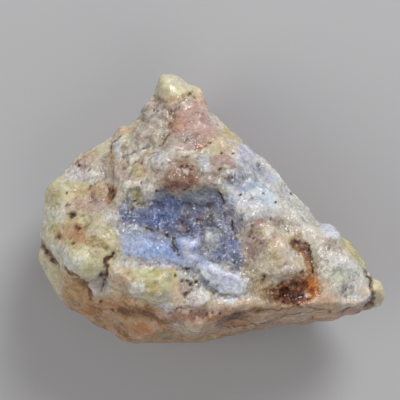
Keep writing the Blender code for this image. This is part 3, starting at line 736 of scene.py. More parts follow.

# Smaller dabs of mineral, laid over the areas: a mineral, the middle of an oval in mm, its
# length and width, its turn in degrees, and how fully it covers what lies under it. Not all of
# them are mineral: some of the smallest milk, lilac and frost dabs are painted glints, some
# larger milk, fog, frost and wax dabs are painted light on faces that the lamps leave in shade,
# and a few darker fog and umber dabs are painted shade.
ZONES = {
    "left shoulder": [
        ("ash", -28.6, -7, 4, 3, 0, 0.35), ("milk", -31.4, 0.6, 4.4, 2.4, 0, 0.35),
        ("rust", -36.6, -8.4, 2, 1.4, 0, 0.25), ("ash", -33.4, -12.2, 3.4, 2.4, -20, 0.3),
        ("ash", -31, -6.6, 3.4, 2.6, -20, 0.35), ("ash", -30, -3.6, 3, 2.4, 0, 0.25),
        ("tan", -36, -8.2, 4, 2.6, 0, 0.15), ("brick", -33.4, 2.4, 3, 2.6, 0, 0.35),
        ("brick", -34, 4.6, 2.2, 1.2, 20, 0.6), ("umber", -32.6, 3.6, 1.2, 0.8, 0, 0.5),
        ("brick", -31.2, 5, 1.8, 1, 0, 0.5), ("brick", -32, 2.6, 6, 3, 0, 0.35),
        ("olive", -39.4, -9.6, 5, 2.4, -15, 0.75), ("milk", -39.6, -15.4, 3, 3.4, 30, 0.6),
        ("olive", -39.4, -3.4, 4, 2.6, 0, 0.35), ("olive", -43.8, 3.2, 5, 4, 0, 0.4),
        ("milk", -38, 9.4, 9, 2, 15, 0.6), ("milk", -47.2, -4, 2, 12, 0, 0.7),
        ("olive", -42.6, 3.6, 1.8, 1.2, 0, 0.8), ("rose", -38.4, 0.6, 4, 2.6, 30, 0.35),
        ("olive", -43.2, -6.4, 2.4, 4, 20, 0.8), ("tan", -37.4, -7.4, 4.6, 5.4, 0, 0.6),
        ("tan", -42.4, -7.8, 3, 3.4, 0, 0.5), ("peach", -32, -3.2, 7, 2.4, 0, 0.6),
        ("milk", -28.6, -2.2, 5, 3.6, 0, 0.8), ("violet", -26.4, -3.8, 5, 0.8, 0, 0.6),
        ("lemon", -28.4, -6.4, 4, 3, 0, 0.1), ("ash", -32.6, 2.8, 2.2, 2.4, 15, 0.7),
        ("brick", -32.8, 3.4, 1.8, 0.8, 15, 0.8), ("lilac", -30.6, 8.6, 1.2, 3, 0, 0.5),
    ],
    "upper left": [
        ("milk", -36, 10.8, 3.4, 2, 20, 0.4), ("peach", -36.2, 10.8, 3, 2.4, 20, 0.35),
        ("russet", -36.4, 12.3, 3.2, 1.1, 30, 0.6), ("milk", -18.6, 17.6, 4, 2.6, 10, 0.45),
        ("peach", -36.4, 11, 3, 2, 20, 0.4), ("ash", -21.4, 8.6, 3, 3, 0, 0.3),
        ("tan", -27.4, 5.6, 2, 3, 0, 0.35), ("milk", -39.6, 11.2, 3, 2, 30, 0.7),
        ("milk", -21.6, 14.8, 3.4, 2.4, 0, 0.7), ("milk", -15.2, 11.6, 2.6, 2.6, 0, 0.5),
        ("peach", -18.4, 14.6, 5, 3, 10, 0.7), ("ash", -18.4, 14.2, 4, 3, 10, 0.35),
        ("milk", -36.8, 11.2, 4.4, 1.8, 25, 0.7), ("milk", -15.8, 26.8, 4, 4, 0, 0.6),
        ("ash", -30.4, 8.4, 3, 3, 0, 0.5), ("ash", -27.4, 8.4, 3, 3, 0, 0.5),
        ("ash", -27.4, -0.6, 3, 2.6, 0, 0.4), ("rust", -36.8, 12, 2.2, 1.2, 30, 0.5),
        ("tan", -34, 14.4, 4.6, 1.6, 20, 0.5), ("olive", -32.6, 16.2, 2, 1, 0, 0.5),
        ("tan", -28, 15, 1.2, 6, 0, 0.5), ("olive", -28, 13.2, 1.6, 2, 0, 0.4),
        ("tan", -26.6, 20.6, 3, 1, 45, 0.6), ("lilac", -23.6, 23.6, 3, 2, 20, 0.6),
        ("ash", -24.2, 10.6, 3, 5, 0, 0.5), ("olive", -20.2, 9.6, 2.4, 2.4, 0, 0.6),
        ("celery", -18, 8.8, 4, 1.8, 20, 0.7), ("lilac", -15, 13.6, 3.4, 4, 0, 0.6),
        ("ash", -15.6, 8.6, 2.6, 2.6, 0, 0.35), ("milk", -13.4, 11.6, 2.4, 3, 0, 0.5),
        ("slate", -24.2, 0.6, 3, 3, 20, 0.6), ("indigo", -23.6, -2.4, 1.4, 4.4, 35, 0.9),
        ("ochre", -28.4, 1.9, 1.8, 1.6, 0, 0.8), ("umber", -27.9, 3.4, 1.5, 2.2, 0, 1),
        ("umber", -28.7, 5.3, 1.1, 1.6, 0, 0.9),
    ],
    "knob and pink face": [
        ("ash", 3, 12.6, 6, 3.4, 0, 0.4), ("ash", 5, 18, 4, 3, 0, 0.35), ("rose", -12, 17.6, 4, 3, 0, 0.25),
        ("brick", -9.4, 11.6, 3.4, 2, 0, 0.3), ("ash", -12.4, 23.6, 2.4, 3.4, 0, 0.4),
        ("wax", -5, 33.6, 3, 4, 30, 0.5), ("brick", -12.4, 26.4, 3.4, 3.6, 0, 0.4),
        ("brick", -3.6, 17.4, 4, 2.4, 0, 0.4), ("ash", -6.4, 29.6, 4, 2.4, 0, 0.4),
        ("ash", -7.6, 29.6, 6, 2.4, -10, 0.35), ("tan", -8.4, 29.6, 7, 2.6, -10, 0.4),
        ("brick", -3.6, 20.4, 4, 3, 0, 0.3), ("umber", -13, 20.6, 3, 8, -30, 0.15),
        ("milk", -10.4, 34.8, 8, 2.6, -22, 0.4), ("olive", -13.8, 34.4, 1.6, 3, -10, 0.35),
        ("russet", -7, 31.4, 3, 1.2, 25, 0.6), ("russet", -13, 29.8, 1.4, 3.4, 35, 0.5),
        ("peach", -8.8, 30.2, 2.6, 1.2, 10, 0.7), ("milk", -7.4, 28.6, 4.4, 1.8, 12, 0.6),
        ("peach", -2.4, 29.4, 6, 2.4, -40, 0.6), ("milk", 0.8, 24.6, 2, 9, 40, 0.5),
        ("brick", -3, 25.6, 2.4, 3, 0, 0.3), ("brick", -2.2, 18.6, 3.4, 3, 0, 0.4),
        ("tan", -2.8, 16.8, 5, 1.5, 22, 0.35), ("lemon", 4.4, 21.2, 3.6, 2, -35, 0.5),
        ("rose", -16.4, 28, 4, 3, 0, 0.45), ("milk", -18.6, 20.8, 2.6, 1.8, 35, 0.7),
        ("milk", -18.2, 28.8, 2.8, 1.2, 20, 0.6), ("rose", -19.6, 18.8, 3.6, 2.6, 0, 0.4),
        ("milk", -4.2, 14.2, 1.4, 1.2, 0, 0.9), ("brick", 4.6, 12.6, 2.6, 1.2, 30, 0.4),
        ("russet", -8.6, 13, 1.8, 1.2, 0, 0.5), ("milk", -6.9, 9.9, 1.3, 1.2, 0, 0.6),
        ("umber", -11, 6.6, 4, 1.4, 20, 0.25), ("umber", -6.4, 8.2, 3, 3, 0, 0.3),
    ],
    "pocket and shelf": [
        ("slate", -24, -1.8, 3.6, 3, 0, 0.6), ("olive", 2.6, -6.6, 2.4, 2.6, 0, 0.35),
        ("slate", -24.4, -0.6, 3.4, 3.4, 0, 0.45), ("ash", 2.6, -6.6, 2.4, 2.4, 0, 0.25),
        ("fog", 0.2, -21, 3, 2.4, 0, 0.6), ("frost", -6, -13.4, 6, 2.4, -10, 0.6),
        ("fog", -24.2, 0.4, 4.4, 4.4, -30, 0.5), ("frost", -6.4, -9.8, 5, 3.4, 0, 0.35),
        ("lilac", -2.6, -15, 4, 2, -30, 0.4), ("frost", -6.6, -15.4, 4.4, 2, -10, 0.5),
        ("slate", 2.6, -4.6, 3.4, 5, 0, 0.5), ("fog", -3.4, 2.8, 4, 2.6, 0, 0.6),
        # the small frost specks that follow are painted glints in the blue heart and on the pocket's edge
        ("frost", -17, -1, 0.8, 0.6, 0, 0.6), ("frost", -15.6, -2.4, 0.6, 0.6, 0, 0.6),
        ("frost", -13.6, -0.6, 0.6, 0.8, 0, 0.5), ("frost", -18.4, -3.4, 0.6, 0.5, 0, 0.6),
        ("frost", -12, -4.2, 0.8, 0.5, 0, 0.5), ("frost", -11, 0.6, 0.6, 0.6, 0, 0.5),
        ("frost", -16.4, 0.8, 0.6, 0.8, 0, 0.5), ("frost", -14.8, -4.6, 0.6, 0.5, 0, 0.5),
        ("frost", -2.2, 1.4, 0.7, 0.6, 0, 0.5), ("frost", 0.4, 2.4, 0.6, 0.6, 0, 0.5),
        ("frost", -8.6, 0.2, 0.7, 0.5, 0, 0.4), ("sky", -6.4, -15.4, 4.6, 2, -10, 0.5),
        ("fog", -3, 3.2, 8.6, 3.6, 0, 0.85), ("fog", -15.4, 2.8, 4.4, 2.8, 20, 0.9),
        ("milk", -18.2, 2.8, 3.4, 3.6, 0, 0.7), ("frost", -6.6, -12.4, 4.6, 2.6, -10, 0.6),
        ("frost", -6.4, -10.4, 3.4, 2.6, 0, 0.35), ("sky", 2.2, -12.8, 3.4, 2.6, 0, 0.4),
        ("umber", 8.6, -15.6, 2.6, 3, 0, 0.22), ("fog", 0.4, 1.6, 3.6, 3.4, 0, 0.35),
        ("slate", 5.4, -6.2, 3, 5, 0, 0.8), ("slate", 2.4, -4.8, 3.4, 6, 0, 0.5),
        ("slate", -3.6, -3.4, 3.2, 3, 0, 0.5), ("milk", -0.4, -9.2, 3.2, 3.6, 0, 0.4),
        ("slate", -23, -2.2, 6, 5, 0, 0.55), ("slate", -15, -9, 4.6, 2, -25, 0.45),
        ("lilac", 5.2, 2.8, 2.6, 3, 0, 0.5), ("violet", -12.4, -15.2, 5, 1.6, 0, 0.4),
        ("slate", 6, -14.6, 4.4, 4.4, 0, 0.5), ("frost", 2, -22.6, 3.6, 1.6, -10, 0.6),
        ("lilac", -17.2, 0.1, 1.8, 1.2, -20, 0.5), ("lilac", -13.4, -2.6, 1.2, 1.8, 20, 0.35),
        ("lilac", 1.2, 1, 1.2, 1, 0, 0.45), ("violet", 0.2, 1.4, 6, 5, 0, 0.4),
        ("ash", -7.6, -1.4, 3, 2.4, 0, 0.3), ("olive", -8.4, -5.6, 2.8, 2, -20, 0.35),
        ("violet", -4.6, -6.4, 4, 2.4, 0, 0.4), ("lilac", -19.2, -9.6, 3.6, 1.6, 20, 0.4),
        ("lilac", -22.4, -10.2, 3.6, 4.4, 0, 0.3), ("indigo", -13, -11.8, 5.6, 3.2, -15, 0.3),
        ("lilac", -14.6, -13.4, 1.6, 1.4, 0, 0.8), ("milk", -19, -14.6, 8, 1, 0, 0.5),
        ("lilac", -6.6, -10, 1.8, 1.4, 0, 0.6), ("milk", -0.6, -7.4, 2, 1.8, 0, 0.9),
        ("milk", -1.6, -11.2, 2.4, 1.8, 0, 0.6), ("slate", 3.4, -4.6, 1.4, 4, 0, 0.4),
        ("indigo", 6.2, -9.4, 2, 2.4, 0, 0.3), ("lilac", 4.3, -5, 0.6, 0.8, 0, 0.7),
        ("ash", 5, -15.6, 3, 1.4, -20, 0.6), ("sky", -1.2, -16.6, 6, 2.4, -25, 0.4),
        ("violet", 2.6, -21.6, 4, 1.6, 0, 0.35), ("lilac", -1.6, -17, 6, 3, -30, 0.6),
    ],
    "right": [
        ("ash", 21.2, -2.8, 2.4, 2, 0, 0.5), ("sky", 14.6, 5.4, 4, 2.4, 0, 0.4),
        ("wax", 35.4, -18.4, 7, 5, -40, 0.5), ("milk", 17.8, 10.2, 1.8, 3.6, 40, 0.8),
        ("milk", 21.6, 2.6, 3, 4.6, 35, 0.45), ("wax", 28.2, -4.4, 3, 4, 40, 0.35),
        ("ash", 8.6, -15.6, 3, 2.4, 0, 0.4), ("ash", 8.6, -18.2, 3, 2.6, 0, 0.5),
        ("violet", 11.4, 8.4, 4, 3, -10, 0.35), ("ash", 11.6, -15.4, 3.4, 3, 0, 0.4),
        ("tan", 14.4, -21.6, 3, 3, 0, 0.35), ("ash", 23.4, -6.2, 3.4, 2, -30, 0.4),
        ("milk", 41.4, -18.4, 3.4, 3.4, 0, 0.5), ("ash", 2.6, -6.6, 2.6, 2.6, 0, 0.1),
        ("tan", 33, -25, 8, 3, 0, 0.12), ("milk", 37, -15, 5, 4, -40, 0.4), ("tan", 12, -10, 5, 8, 0, 0.15),
        ("ash", 8.8, -18, 3, 2.4, 0, 0.5), ("tan", 23.4, -6.8, 3.4, 2.6, -30, 0.25),
        ("frost", 17.6, 8.6, 3, 4, 40, 0.5), ("milk", 20.4, 2.4, 2.6, 5, 40, 0.6),
        ("frost", 20.4, 5.8, 3, 4.4, 40, 0.5), ("milk", 41.4, -18.6, 5.4, 4.4, -40, 0.9),
        ("ash", 11.4, -15.4, 3, 3, 0, 0.35), ("milk", 21, -12.4, 5, 3, -30, 0.5),
        ("milk", 37, -17, 9, 4, -45, 0.5), ("wax", 46.4, -22.8, 5, 7, 18, 0.9),
        ("ash", 20.6, -4.2, 4.6, 3, -20, 0.45), ("ash", 17.6, -6.8, 4, 3, 0, 0.45),
        ("ash", 8.8, -18.2, 3.4, 2.6, 0, 0.75), ("ash", 5.6, 11.2, 3.4, 3, 0, 0.5),
        ("sky", 11, 5.6, 7, 2.8, 0, 0.45), ("sky", 8, 5.2, 3.4, 2, 0, 0.35), ("ash", 9, -9.4, 3, 4, 0, 0.4),
        ("lilac", 10.6, 14.4, 3.4, 1.6, -30, 0.5), ("violet", 12.6, 11, 4, 2.2, 0, 0.3),
        ("slate", 6.2, 8.6, 5, 3.4, 0, 0.7), ("slate", 5.6, 6.6, 2.6, 1.4, 0, 0.6),
        ("milk", 4.6, 10.4, 3, 2, 0, 0.5), ("milk", 7.4, -1.4, 1.2, 2.4, 0, 0.8),
        ("sky", 15.2, 2.2, 4.6, 3, 0, 0.4), ("milk", 11.6, -1, 4.6, 2, -15, 0.8),
        ("rose", 13.6, -4, 3.4, 1.8, 0, 0.95), ("rose", 17.4, -3.6, 4.4, 1.8, 15, 0.8),
        ("brick", 17, -4.4, 3, 1.2, 0, 0.3), ("milk", 19, 2, 3.4, 6, 0, 0.5),
        ("milk", 22, 1.6, 2.4, 5, 35, 0.5), ("olive", 13, -5.9, 2.6, 1.2, 0, 0.5),
        ("lemon", 22, -8.8, 2, 1.6, 0, 0.4), ("milk", 16, -7.2, 1.8, 2.4, 0, 0.6),
        ("ash", 17.8, -8, 2, 2.6, 0, 0.4), ("olive", 17, -13.6, 4, 2, 0, 0.4),
        ("milk", 23, -13.4, 1.4, 1, 0, 0.9), ("milk", 21.6, -16.4, 6, 2.4, -5, 0.5),
        ("ash", 10.6, -11.4, 2.4, 5, 0, 0.4), ("celery", 29.4, -15.4, 1.4, 5, 10, 0.8),
        ("celery", 28.6, -8, 5, 2.4, 0, 0.4), ("milk", 33.6, -14.6, 2.4, 1.8, -20, 0.8),
        ("ash", 37.2, -21.2, 1.4, 4, 0, 0.7), ("ash", 36.2, -23.4, 2.6, 1.4, 20, 0.7),
        ("slate", 37.4, -22.6, 1.2, 3.6, 0, 0.3), ("peach", 41.6, -23.4, 2, 4, 0, 0.5),
        ("peach", 38.6, -26.4, 6, 1.2, 4, 0.6), ("lemon", 40.2, -13.4, 2, 3.4, 35, 0.6),
        ("peach", 47.2, -25.6, 2, 3, 0, 0.5),
    ],
    "iron stains": [
        ("umber", 23.4, -24.6, 3.4, 2.6, 0, 0.5), ("russet", 16.8, -24.6, 6, 3.4, 20, 0.6),
        ("umber", 18.6, -25.8, 3.4, 1.4, -15, 0.8), ("umber", 21.6, -26.4, 4, 1.4, 0, 0.8),
        ("ash", 20.4, -19.6, 3, 1.2, 20, 0.6), ("peach", 28.6, -25.6, 2, 1.4, -40, 0.6),
        ("russet", 25, -18.4, 7, 2.4, 0, 0.5), ("olive", 14.2, -22.8, 4, 6, 10, 0.35),
        ("umber", 17, -23.7, 3, 0.8, 0, 0.8), ("peach", 25.8, -23.9, 1.8, 1.6, 0, 0.95),
        ("rose", 22.2, -22.6, 0.9, 0.9, 0, 0.6), ("umber", 26, -21, 1.6, 1, 30, 0.8),
        ("umber", 25.6, -25.8, 2.6, 1, 0, 0.8), ("jet", 22, -21.4, 2.6, 1, 30, 0.6),
        ("rust", 23.4, -23.2, 2, 2.4, 0, 0.4), ("umber", 23.2, -9.9, 2.6, 1.2, -20, 0.7),
        ("umber", 26.2, -12.4, 1.4, 3.4, 30, 0.4), ("milk", 24, -8.8, 1.2, 0.9, 0, 0.7),
        ("ochre", 27.8, -17, 1.6, 3, 0, 0.5),
    ],
    "below the shelf": [
        ("rust", -21.6, -27.6, 4.4, 2, -15, 0.35), ("tan", -30, -26.6, 6, 3, -20, 0.2),
        ("brick", -3.4, -30.6, 4, 2.4, 0, 0.3), ("celery", -24.4, -21.4, 3.6, 3, 0, 0.5),
        ("peach", -6.4, -34.6, 14, 2.4, 0, 0.6), ("tan", -11, -34.2, 5, 2, -10, 0.25),
        ("peach", 3, -32.8, 7, 1.6, 5, 0.4), ("peach", 25, -28.7, 16, 1.8, 6, 0.5),
        ("tan", 20, -28.8, 6, 1.8, 6, 0.25), ("celery", -41, -19.6, 3.4, 3, -40, 0.4),
        ("rust", 5.4, -30, 4, 1.6, 10, 0.3), ("celery", -24.4, -21.6, 3.4, 3, 0, 0.45),
        ("milk", -14, -24.7, 7, 2.8, 0, 0.6), ("milk", -24.6, -21.4, 4, 3.6, 0, 0.5),
        ("umber", 5.6, -30.6, 5, 1.8, 8, 0.6), ("russet", 12, -29, 8, 2, 6, 0.4),
        ("frost", -38, -15.2, 6.4, 4, 10, 0.55), ("tan", -18.6, -33.6, 6, 3, -10, 0.6),
        ("milk", 25, -30.5, 9, 1.8, 6, 0.6), ("peach", -24.4, -21.6, 3.4, 3.4, 0, 0.5),
        ("russet", -19, -27.8, 8, 1.8, -14, 0.35), ("tan", -24.4, -24.8, 6, 2.4, -15, 0.5),
        ("celery", -37, -15.6, 6, 4, 0, 0.4), ("umber", 6, -30.4, 8, 3, 5, 0.75),
        ("russet", 17.6, -27.7, 11, 2.6, 4, 0.35), ("milk", -12.8, -27.3, 5.4, 3.4, -20, 1),
        ("rose", -11, -29.2, 3.6, 1.6, -20, 0.5), ("celery", -15.4, -24.6, 4, 2.6, 0, 0.6),
        ("brick", -3.6, -30.4, 9, 3, 0, 1), ("peach", -4, -33.2, 12, 3.4, 5, 0.75),
        ("olive", -13.6, -18.4, 9, 3, 0, 0.6), ("russet", -20.2, -27.4, 7, 2.4, -12, 0.5),
        ("russet", -32.4, -28.8, 7, 2.6, -35, 0.3), ("peach", -24.6, -21.4, 4, 3.6, 0, 0.85),
        ("celery", -43.4, -21.6, 4.6, 7, 20, 0.5), ("rose", -30.6, -21.6, 2.4, 3.6, 0, 0.4),
        ("rose", 2.4, -27.6, 5, 2.2, 0, 0.6), ("frost", 5, -24.6, 9, 2.8, 0, 0.85),
        ("umber", -30.4, -18, 3, 2.4, 20, 0.35), ("olive", -38.6, -21.4, 6, 6, -45, 0.45),
        ("milk", -9.6, -33.4, 5, 2, -10, 0.6), ("umber", -36.6, -21.4, 3, 4, 40, 0.3),
        ("peach", 0, -33.4, 6, 2.4, 5, 0.6), ("olive", 11.6, -20.5, 6, 9, 20, 0.35),
        ("peach", -22.6, -18.8, 5, 3.4, 0, 0.55), ("milk", -13.4, -18.8, 1.4, 1, 0, 0.8),
        ("peach", -10.4, -22.6, 3, 5, 0, 0.5), ("milk", -26.6, -17.8, 3, 2.4, 0, 0.5),
        ("milk", -7, -27.4, 4, 1.4, 0, 0.4), ("milk", 10.6, -24.4, 3, 1.2, 15, 0.8),
        ("ash", 5, -23.8, 8, 0.8, 0, 0.5), ("rose", 8.6, -26.6, 7, 1.4, 10, 0.5),
        ("russet", -31, -18.4, 2, 1, 0, 0.7), ("slate", -29.6, -20.4, 1, 3, -15, 0.6),
        ("ash", -38, -26.6, 5, 3, -20, 0.5), ("russet", -24, -34.6, 8, 3, -30, 0.3),
        ("russet", -18.6, -29, 6, 1.4, -20, 0.8), ("brick", -10.4, -30.4, 3, 2.2, 0, 0.5),
        ("brick", -3, -29.2, 6, 1.8, 0, 0.3), ("ash", -7.4, -28.8, 3.4, 1.6, 0, 0.5),
        ("russet", 2.4, -31.6, 4, 2, 20, 0.7), ("umber", 5.8, -30.4, 4, 1.8, 10, 0.95),
        ("slate", 9.4, -29.4, 3.4, 1, 0, 0.3), ("russet", 11.4, -28.8, 6, 1.4, 5, 0.8),
        ("tan", 20, -30.6, 12, 2, 5, 0.5), ("milk", -5.2, -33.8, 4.4, 0.7, 0, 0.7),
        ("rose", 38, -28.8, 10, 1.4, 5, 0.6),
    ],
}
DAB_SWAYS = ((2.6, 0.9), (1.1, 0.5))  # how a dab's edge wavers, as for the borders
DAB_FADE = (0.35, 1.45)  # where a dab starts to fade and where it ends, 1 being on the oval
STEEPNESS = 0.12  # how much a mm of height counts beside a mm across, within a dab


def height_at(spots, form):
    """The height of the surface, in mm, at each spot that the camera sees."""
    tree = BVHTree.FromObject(form, bpy.context.evaluated_depsgraph_get())
    eye = camera.location
    heights = []
    for x, y in spots:
        aim = Vector(((x - ZERO[0]) * MM, (y - ZERO[1]) * MM, RIM_HEIGHT))
        hit = tree.ray_cast(eye, aim - eye)[0]
        heights.append(hit.z / MM if hit else RIM_HEIGHT / MM)
    return heights


dabs = [dab for zone in ZONES.values() for dab in zone]
levels = height_at([dab[1:3] for dab in dabs], stone)
places = swayed(DAB_SWAYS)
for (mineral, *oval, strength), level in zip(dabs, levels):
    length, width = oval[2:4]
    up = (points[:, 2] - level) * STEEPNESS / (max(length, width) / 2)
    far = np.hypot(across_oval(places, *oval), up)
    cover(mineral, strength * in_sight * (1.0 - smooth_step(*DAB_FADE, far)))

# Stains and crevices that follow a line, with a few painted shadows and a painted highlight among them:
# mineral, width in mm, and the points of the line.
STREAKS = {
    "left of the knob": ("russet", 0.9, [(-15.2, 35.4), (-15.4, 33), (-15.8, 31.4)]),
    "its dark edge": ("umber", 0.5, [(-15.3, 34.4), (-15.5, 33), (-15.8, 31.6)]),
    "knob stain": ("umber", 0.7, [(-7, 31.5), (-5.8, 32.1)]),
    "glint under the knob": ("jet", 0.3, [(-9.4, 27.8), (-8.2, 28.8)]),
    # the line under the knot is partly a crease and partly painted shadow below the knot, in russet
    "under the knot": ("russet", 0.5, [(-11.2, 24.8), (-12, 22), (-11.8, 20), (-14.4, 17)]),
    "left groove": ("umber", 0.5, [(-25.4, 20.2), (-27, 19), (-28, 17.6), (-27.9, 15.6)]),
    # a pale rim with a painted highlight along it
    "lit rim of milk": ("milk", 1.6, [(12.6, 14.9), (16.2, 11.6), (18.2, 9), (21, 5.6), (27, -0.6), (30, -4.2)]),
    "line on the right foot": ("russet", 0.5, [(12, -28.6), (18, -28), (26, -27.6), (33, -28.6)]),
    "lower line there": ("russet", 0.4, [(15, -31), (22, -29.9), (30, -29)]),
    "pale line there": ("peach", 0.7, [(2, -34.6), (10, -33), (19, -31.6), (28, -30), (34, -29.2)]),
    "shoulder scratch": ("umber", 0.3, [(-40.4, 0.3), (-39.6, 1), (-38.8, 1.2)]),
    "pocket crack": ("jet", 0.7, [(2.2, 4.4), (2.9, 2.8), (3.2, 1.2)]),
    "wall crack": ("jet", 0.8, [(5.4, -4), (5.4, -5.6)]),
    "lip crack": ("jet", 0.5, [(-18.4, -5.5), (-16.4, -6.2)]),
    "shelf crack": ("jet", 0.6, [(-10.4, -8.2), (-10.7, -9.6), (-10.2, -11)]),
    "rust edge": ("russet", 0.4, [(-5.2, 16), (-2.6, 16.6), (-0.3, 18.2)]),
    "notch's line": ("jet", 0.4, [(-8, -16.9), (-6.2, -16.8)]),
    "behind the tongue": ("slate", 0.5, [
        (-5, -16.4), (-3.6, -18.4), (-1.4, -20.2), (0.4, -22.4), (3.4, -23.8),
    ]),
    "vein's dark side": ("jet", 0.6, [(25.6, -9.6), (26.8, -10.8), (27.6, -12.4), (27.6, -13.4)]),
    "vein's foot": ("umber", 0.5, [(28, -16), (28.2, -18.6)]),
    "spot's upper edge": ("umber", 0.5, [(24.4, -18.2), (25.4, -17.2)]),
    "tip seam": ("umber", 1.2, [(42.8, -17.2), (43.7, -19.2), (44.3, -22), (44.8, -25), (44.2, -26.8)]),
    "tip stain": ("russet", 1.2, [(44.4, -22.4), (44.6, -25.2), (43.6, -27), (42.6, -27.6)]),
    "lower right seam": ("umber", 0.4, [(35.2, -28.8), (36.6, -28.2), (38.2, -27.8)]),
    "left seam": ("brick", 1.6, [(-47.8, -9.6), (-46.4, -11.6), (-44.8, -13.8), (-43.6, -15.2)]),
    # painted shade widening the dark wedge by the chin crack, laid in russet
    "shade beside the chin crack": ("russet", 1.1, [(-28, -13), (-29.6, -15), (-29, -17), (-29, -19)]),
    "chin crack": ("umber", 0.8, [
        (-27.2, -12.6), (-28.6, -13.4), (-29.7, -15.2), (-29, -16.8), (-28.8, -18.4),
    ]),
    "chin edge": ("russet", 0.9, [(-36, -20), (-34.8, -22), (-33.6, -23.8)]),
    "belly seam": ("russet", 1.9, [
        (-25.6, -28.6), (-22.4, -28.8), (-20, -28.6), (-17.4, -29.6), (-14.6, -30.9), (-12.6, -31.8),
    ]),
    "its dark middle": ("russet", 0.9, [(-24, -28.8), (-20.2, -28.5), (-17.6, -29.4), (-15.4, -30.4)]),
    "slope seam": ("russet", 0.6, [(-33.4, -26.8), (-30.6, -28.2), (-27.6, -28.4)]),
    # painted shadow under the chin, laid in russet
    "chin's shaded lower edge": ("russet", 1, [
        (-40.8, -16.2), (-38.8, -18), (-36.2, -19.6), (-34.6, -20.6), (-34.2, -22.6), (-33.2, -24.6),
    ]),
    "foot streak": ("russet", 0.6, [(2, -33.6), (7, -33), (13, -32.2), (17, -31.8)]),
}
STREAK_FADE = (0.4, 1.4)  # where a streak starts to fade and where it ends, in half widths
STREAK_STRENGTH = 0.9  # how fully it covers what lies under it

for mineral, width, corners in STREAKS.values():
    far = distance_to_line(border, corners) / (width / 2)
    cover(mineral, STREAK_STRENGTH * in_sight * (1.0 - smooth_step(*STREAK_FADE, far)))

# Dark grains that can be told apart, each in mm: middle, and how wide.
GRAINS = [
    (-46.9, -10.6, 1.2), (-46, -12.2, 1.4), (-44.4, -14.6, 1.2), (3.4, -1.4, 0.6), (6.4, -7.1, 0.8),
    (-9.3, -13, 0.7), (-38.4, -1.9, 2.3), (-37.2, -5.6, 1.6), (-42.6, -8, 1.4), (-38.5, -9.8, 0.9),
    (-40, 3.9, 0.6), (-36.9, 11.8, 0.6), (-35.5, 3.2, 0.4), (-33.7, 6.1, 0.5), (-23.5, 15.5, 0.4),
    (-24.2, 11, 0.4), (-19.4, 12.5, 0.4), (-21.4, 2, 0.8), (-22.2, 0, 1), (-19.7, 7, 0.6), (-3.8, 26.3, 0.6),
    (-0.4, 18, 0.6), (2.7, 15.4, 0.6), (5.9, 15.4, 0.7), (-8.5, 11.2, 1.1), (-7, 11.2, 1.1), (-6, 10.3, 0.7),
    (-5.4, 11.6, 0.8), (2.2, 10.8, 0.9), (3.8, 8.3, 0.7), (4.7, 8.3, 0.9), (5.6, 8.6, 0.7), (-15.3, 4.8, 1),
    (-7.7, 5.2, 0.8), (-6.3, 1, 0.9), (-3.5, -3.3, 1.3), (-6.4, -2.5, 0.8), (-8.3, -3.8, 0.8),
    (-16.7, -6.1, 1.1), (-18.1, -5.5, 0.8), (-12.4, -7.4, 1.1), (14.4, 4.1, 0.7), (17.6, 1.6, 0.5),
    (16.4, -2.9, 0.8), (11.3, -4.9, 0.7), (10.8, -6.6, 0.9), (10.4, -7.9, 0.8), (11.4, -8.4, 0.6),
    (14.5, -19, 1.2), (14, -20, 1), (24.9, -17.6, 1), (-10.4, -18.8, 0.8), (-8.3, -20.3, 1), (-6.8, -20.4, 1),
    (-6.1, -21.1, 1.2), (-4.6, -20.5, 0.8), (-7.4, -23.8, 1), (0.4, -23.8, 0.9), (-7.4, -16.9, 1),
    (-31, -18.2, 1), (-30.8, -26, 0.8), (7.6, -17.4, 0.7), (-1.4, -29.4, 0.6), (2.2, -29.6, 0.8),
    (-2.6, -30.6, 0.6), (0.2, -29.2, 0.5), (8.3, -3.2, 0.7), (8, 3.6, 0.6), (22, 4, 0.7), (19.4, -21, 0.8),
    (17.2, -22.8, 0.7), (18.4, -21.6, 0.8), (16.4, -24.4, 0.6), (18.9, -24.6, 1), (20.2, -25.6, 1),
    (22.4, -25.2, 1.1), (24.2, -26.6, 0.9), (21, -22.6, 0.8), (23.6, -21.4, 0.8), (15.4, -23.2, 0.5),
    (18, -26.4, 0.7), (25, -23, 0.6), (-15.8, 27, 0.5), (-14.6, 26.8, 0.4), (-11.6, 26.4, 0.6),
    (-18.8, 16.3, 0.6), (-17.6, 15.8, 0.5), (-9.8, 16, 0.5),
]
# A grain has a thin rusty halo and is darkest within: each has a mineral, how fully it covers
# what lies under it, and where it starts to fade and where it ends, in half widths.
GRAIN_COATS = [("russet", 0.35, 1.0, 2.2), ("jet", 0.9, 0.6, 1.3)]
GRAIN_NOISE = (0.8, 3)  # the noise that makes them ragged: its size in mm, and a seed
GRAIN_RAGGED = 0.5  # how ragged they are, in half widths

uneven = drift(points, *GRAIN_NOISE)[:, 0]
for x, y, width in GRAINS:
    far = np.hypot(steady[:, 0] - x, steady[:, 1] - y) / (width / 2) + GRAIN_RAGGED * uneven
    for mineral, strength, full, end in GRAIN_COATS:
        cover(mineral, strength * in_sight * (1.0 - smooth_step(full, end, far)))


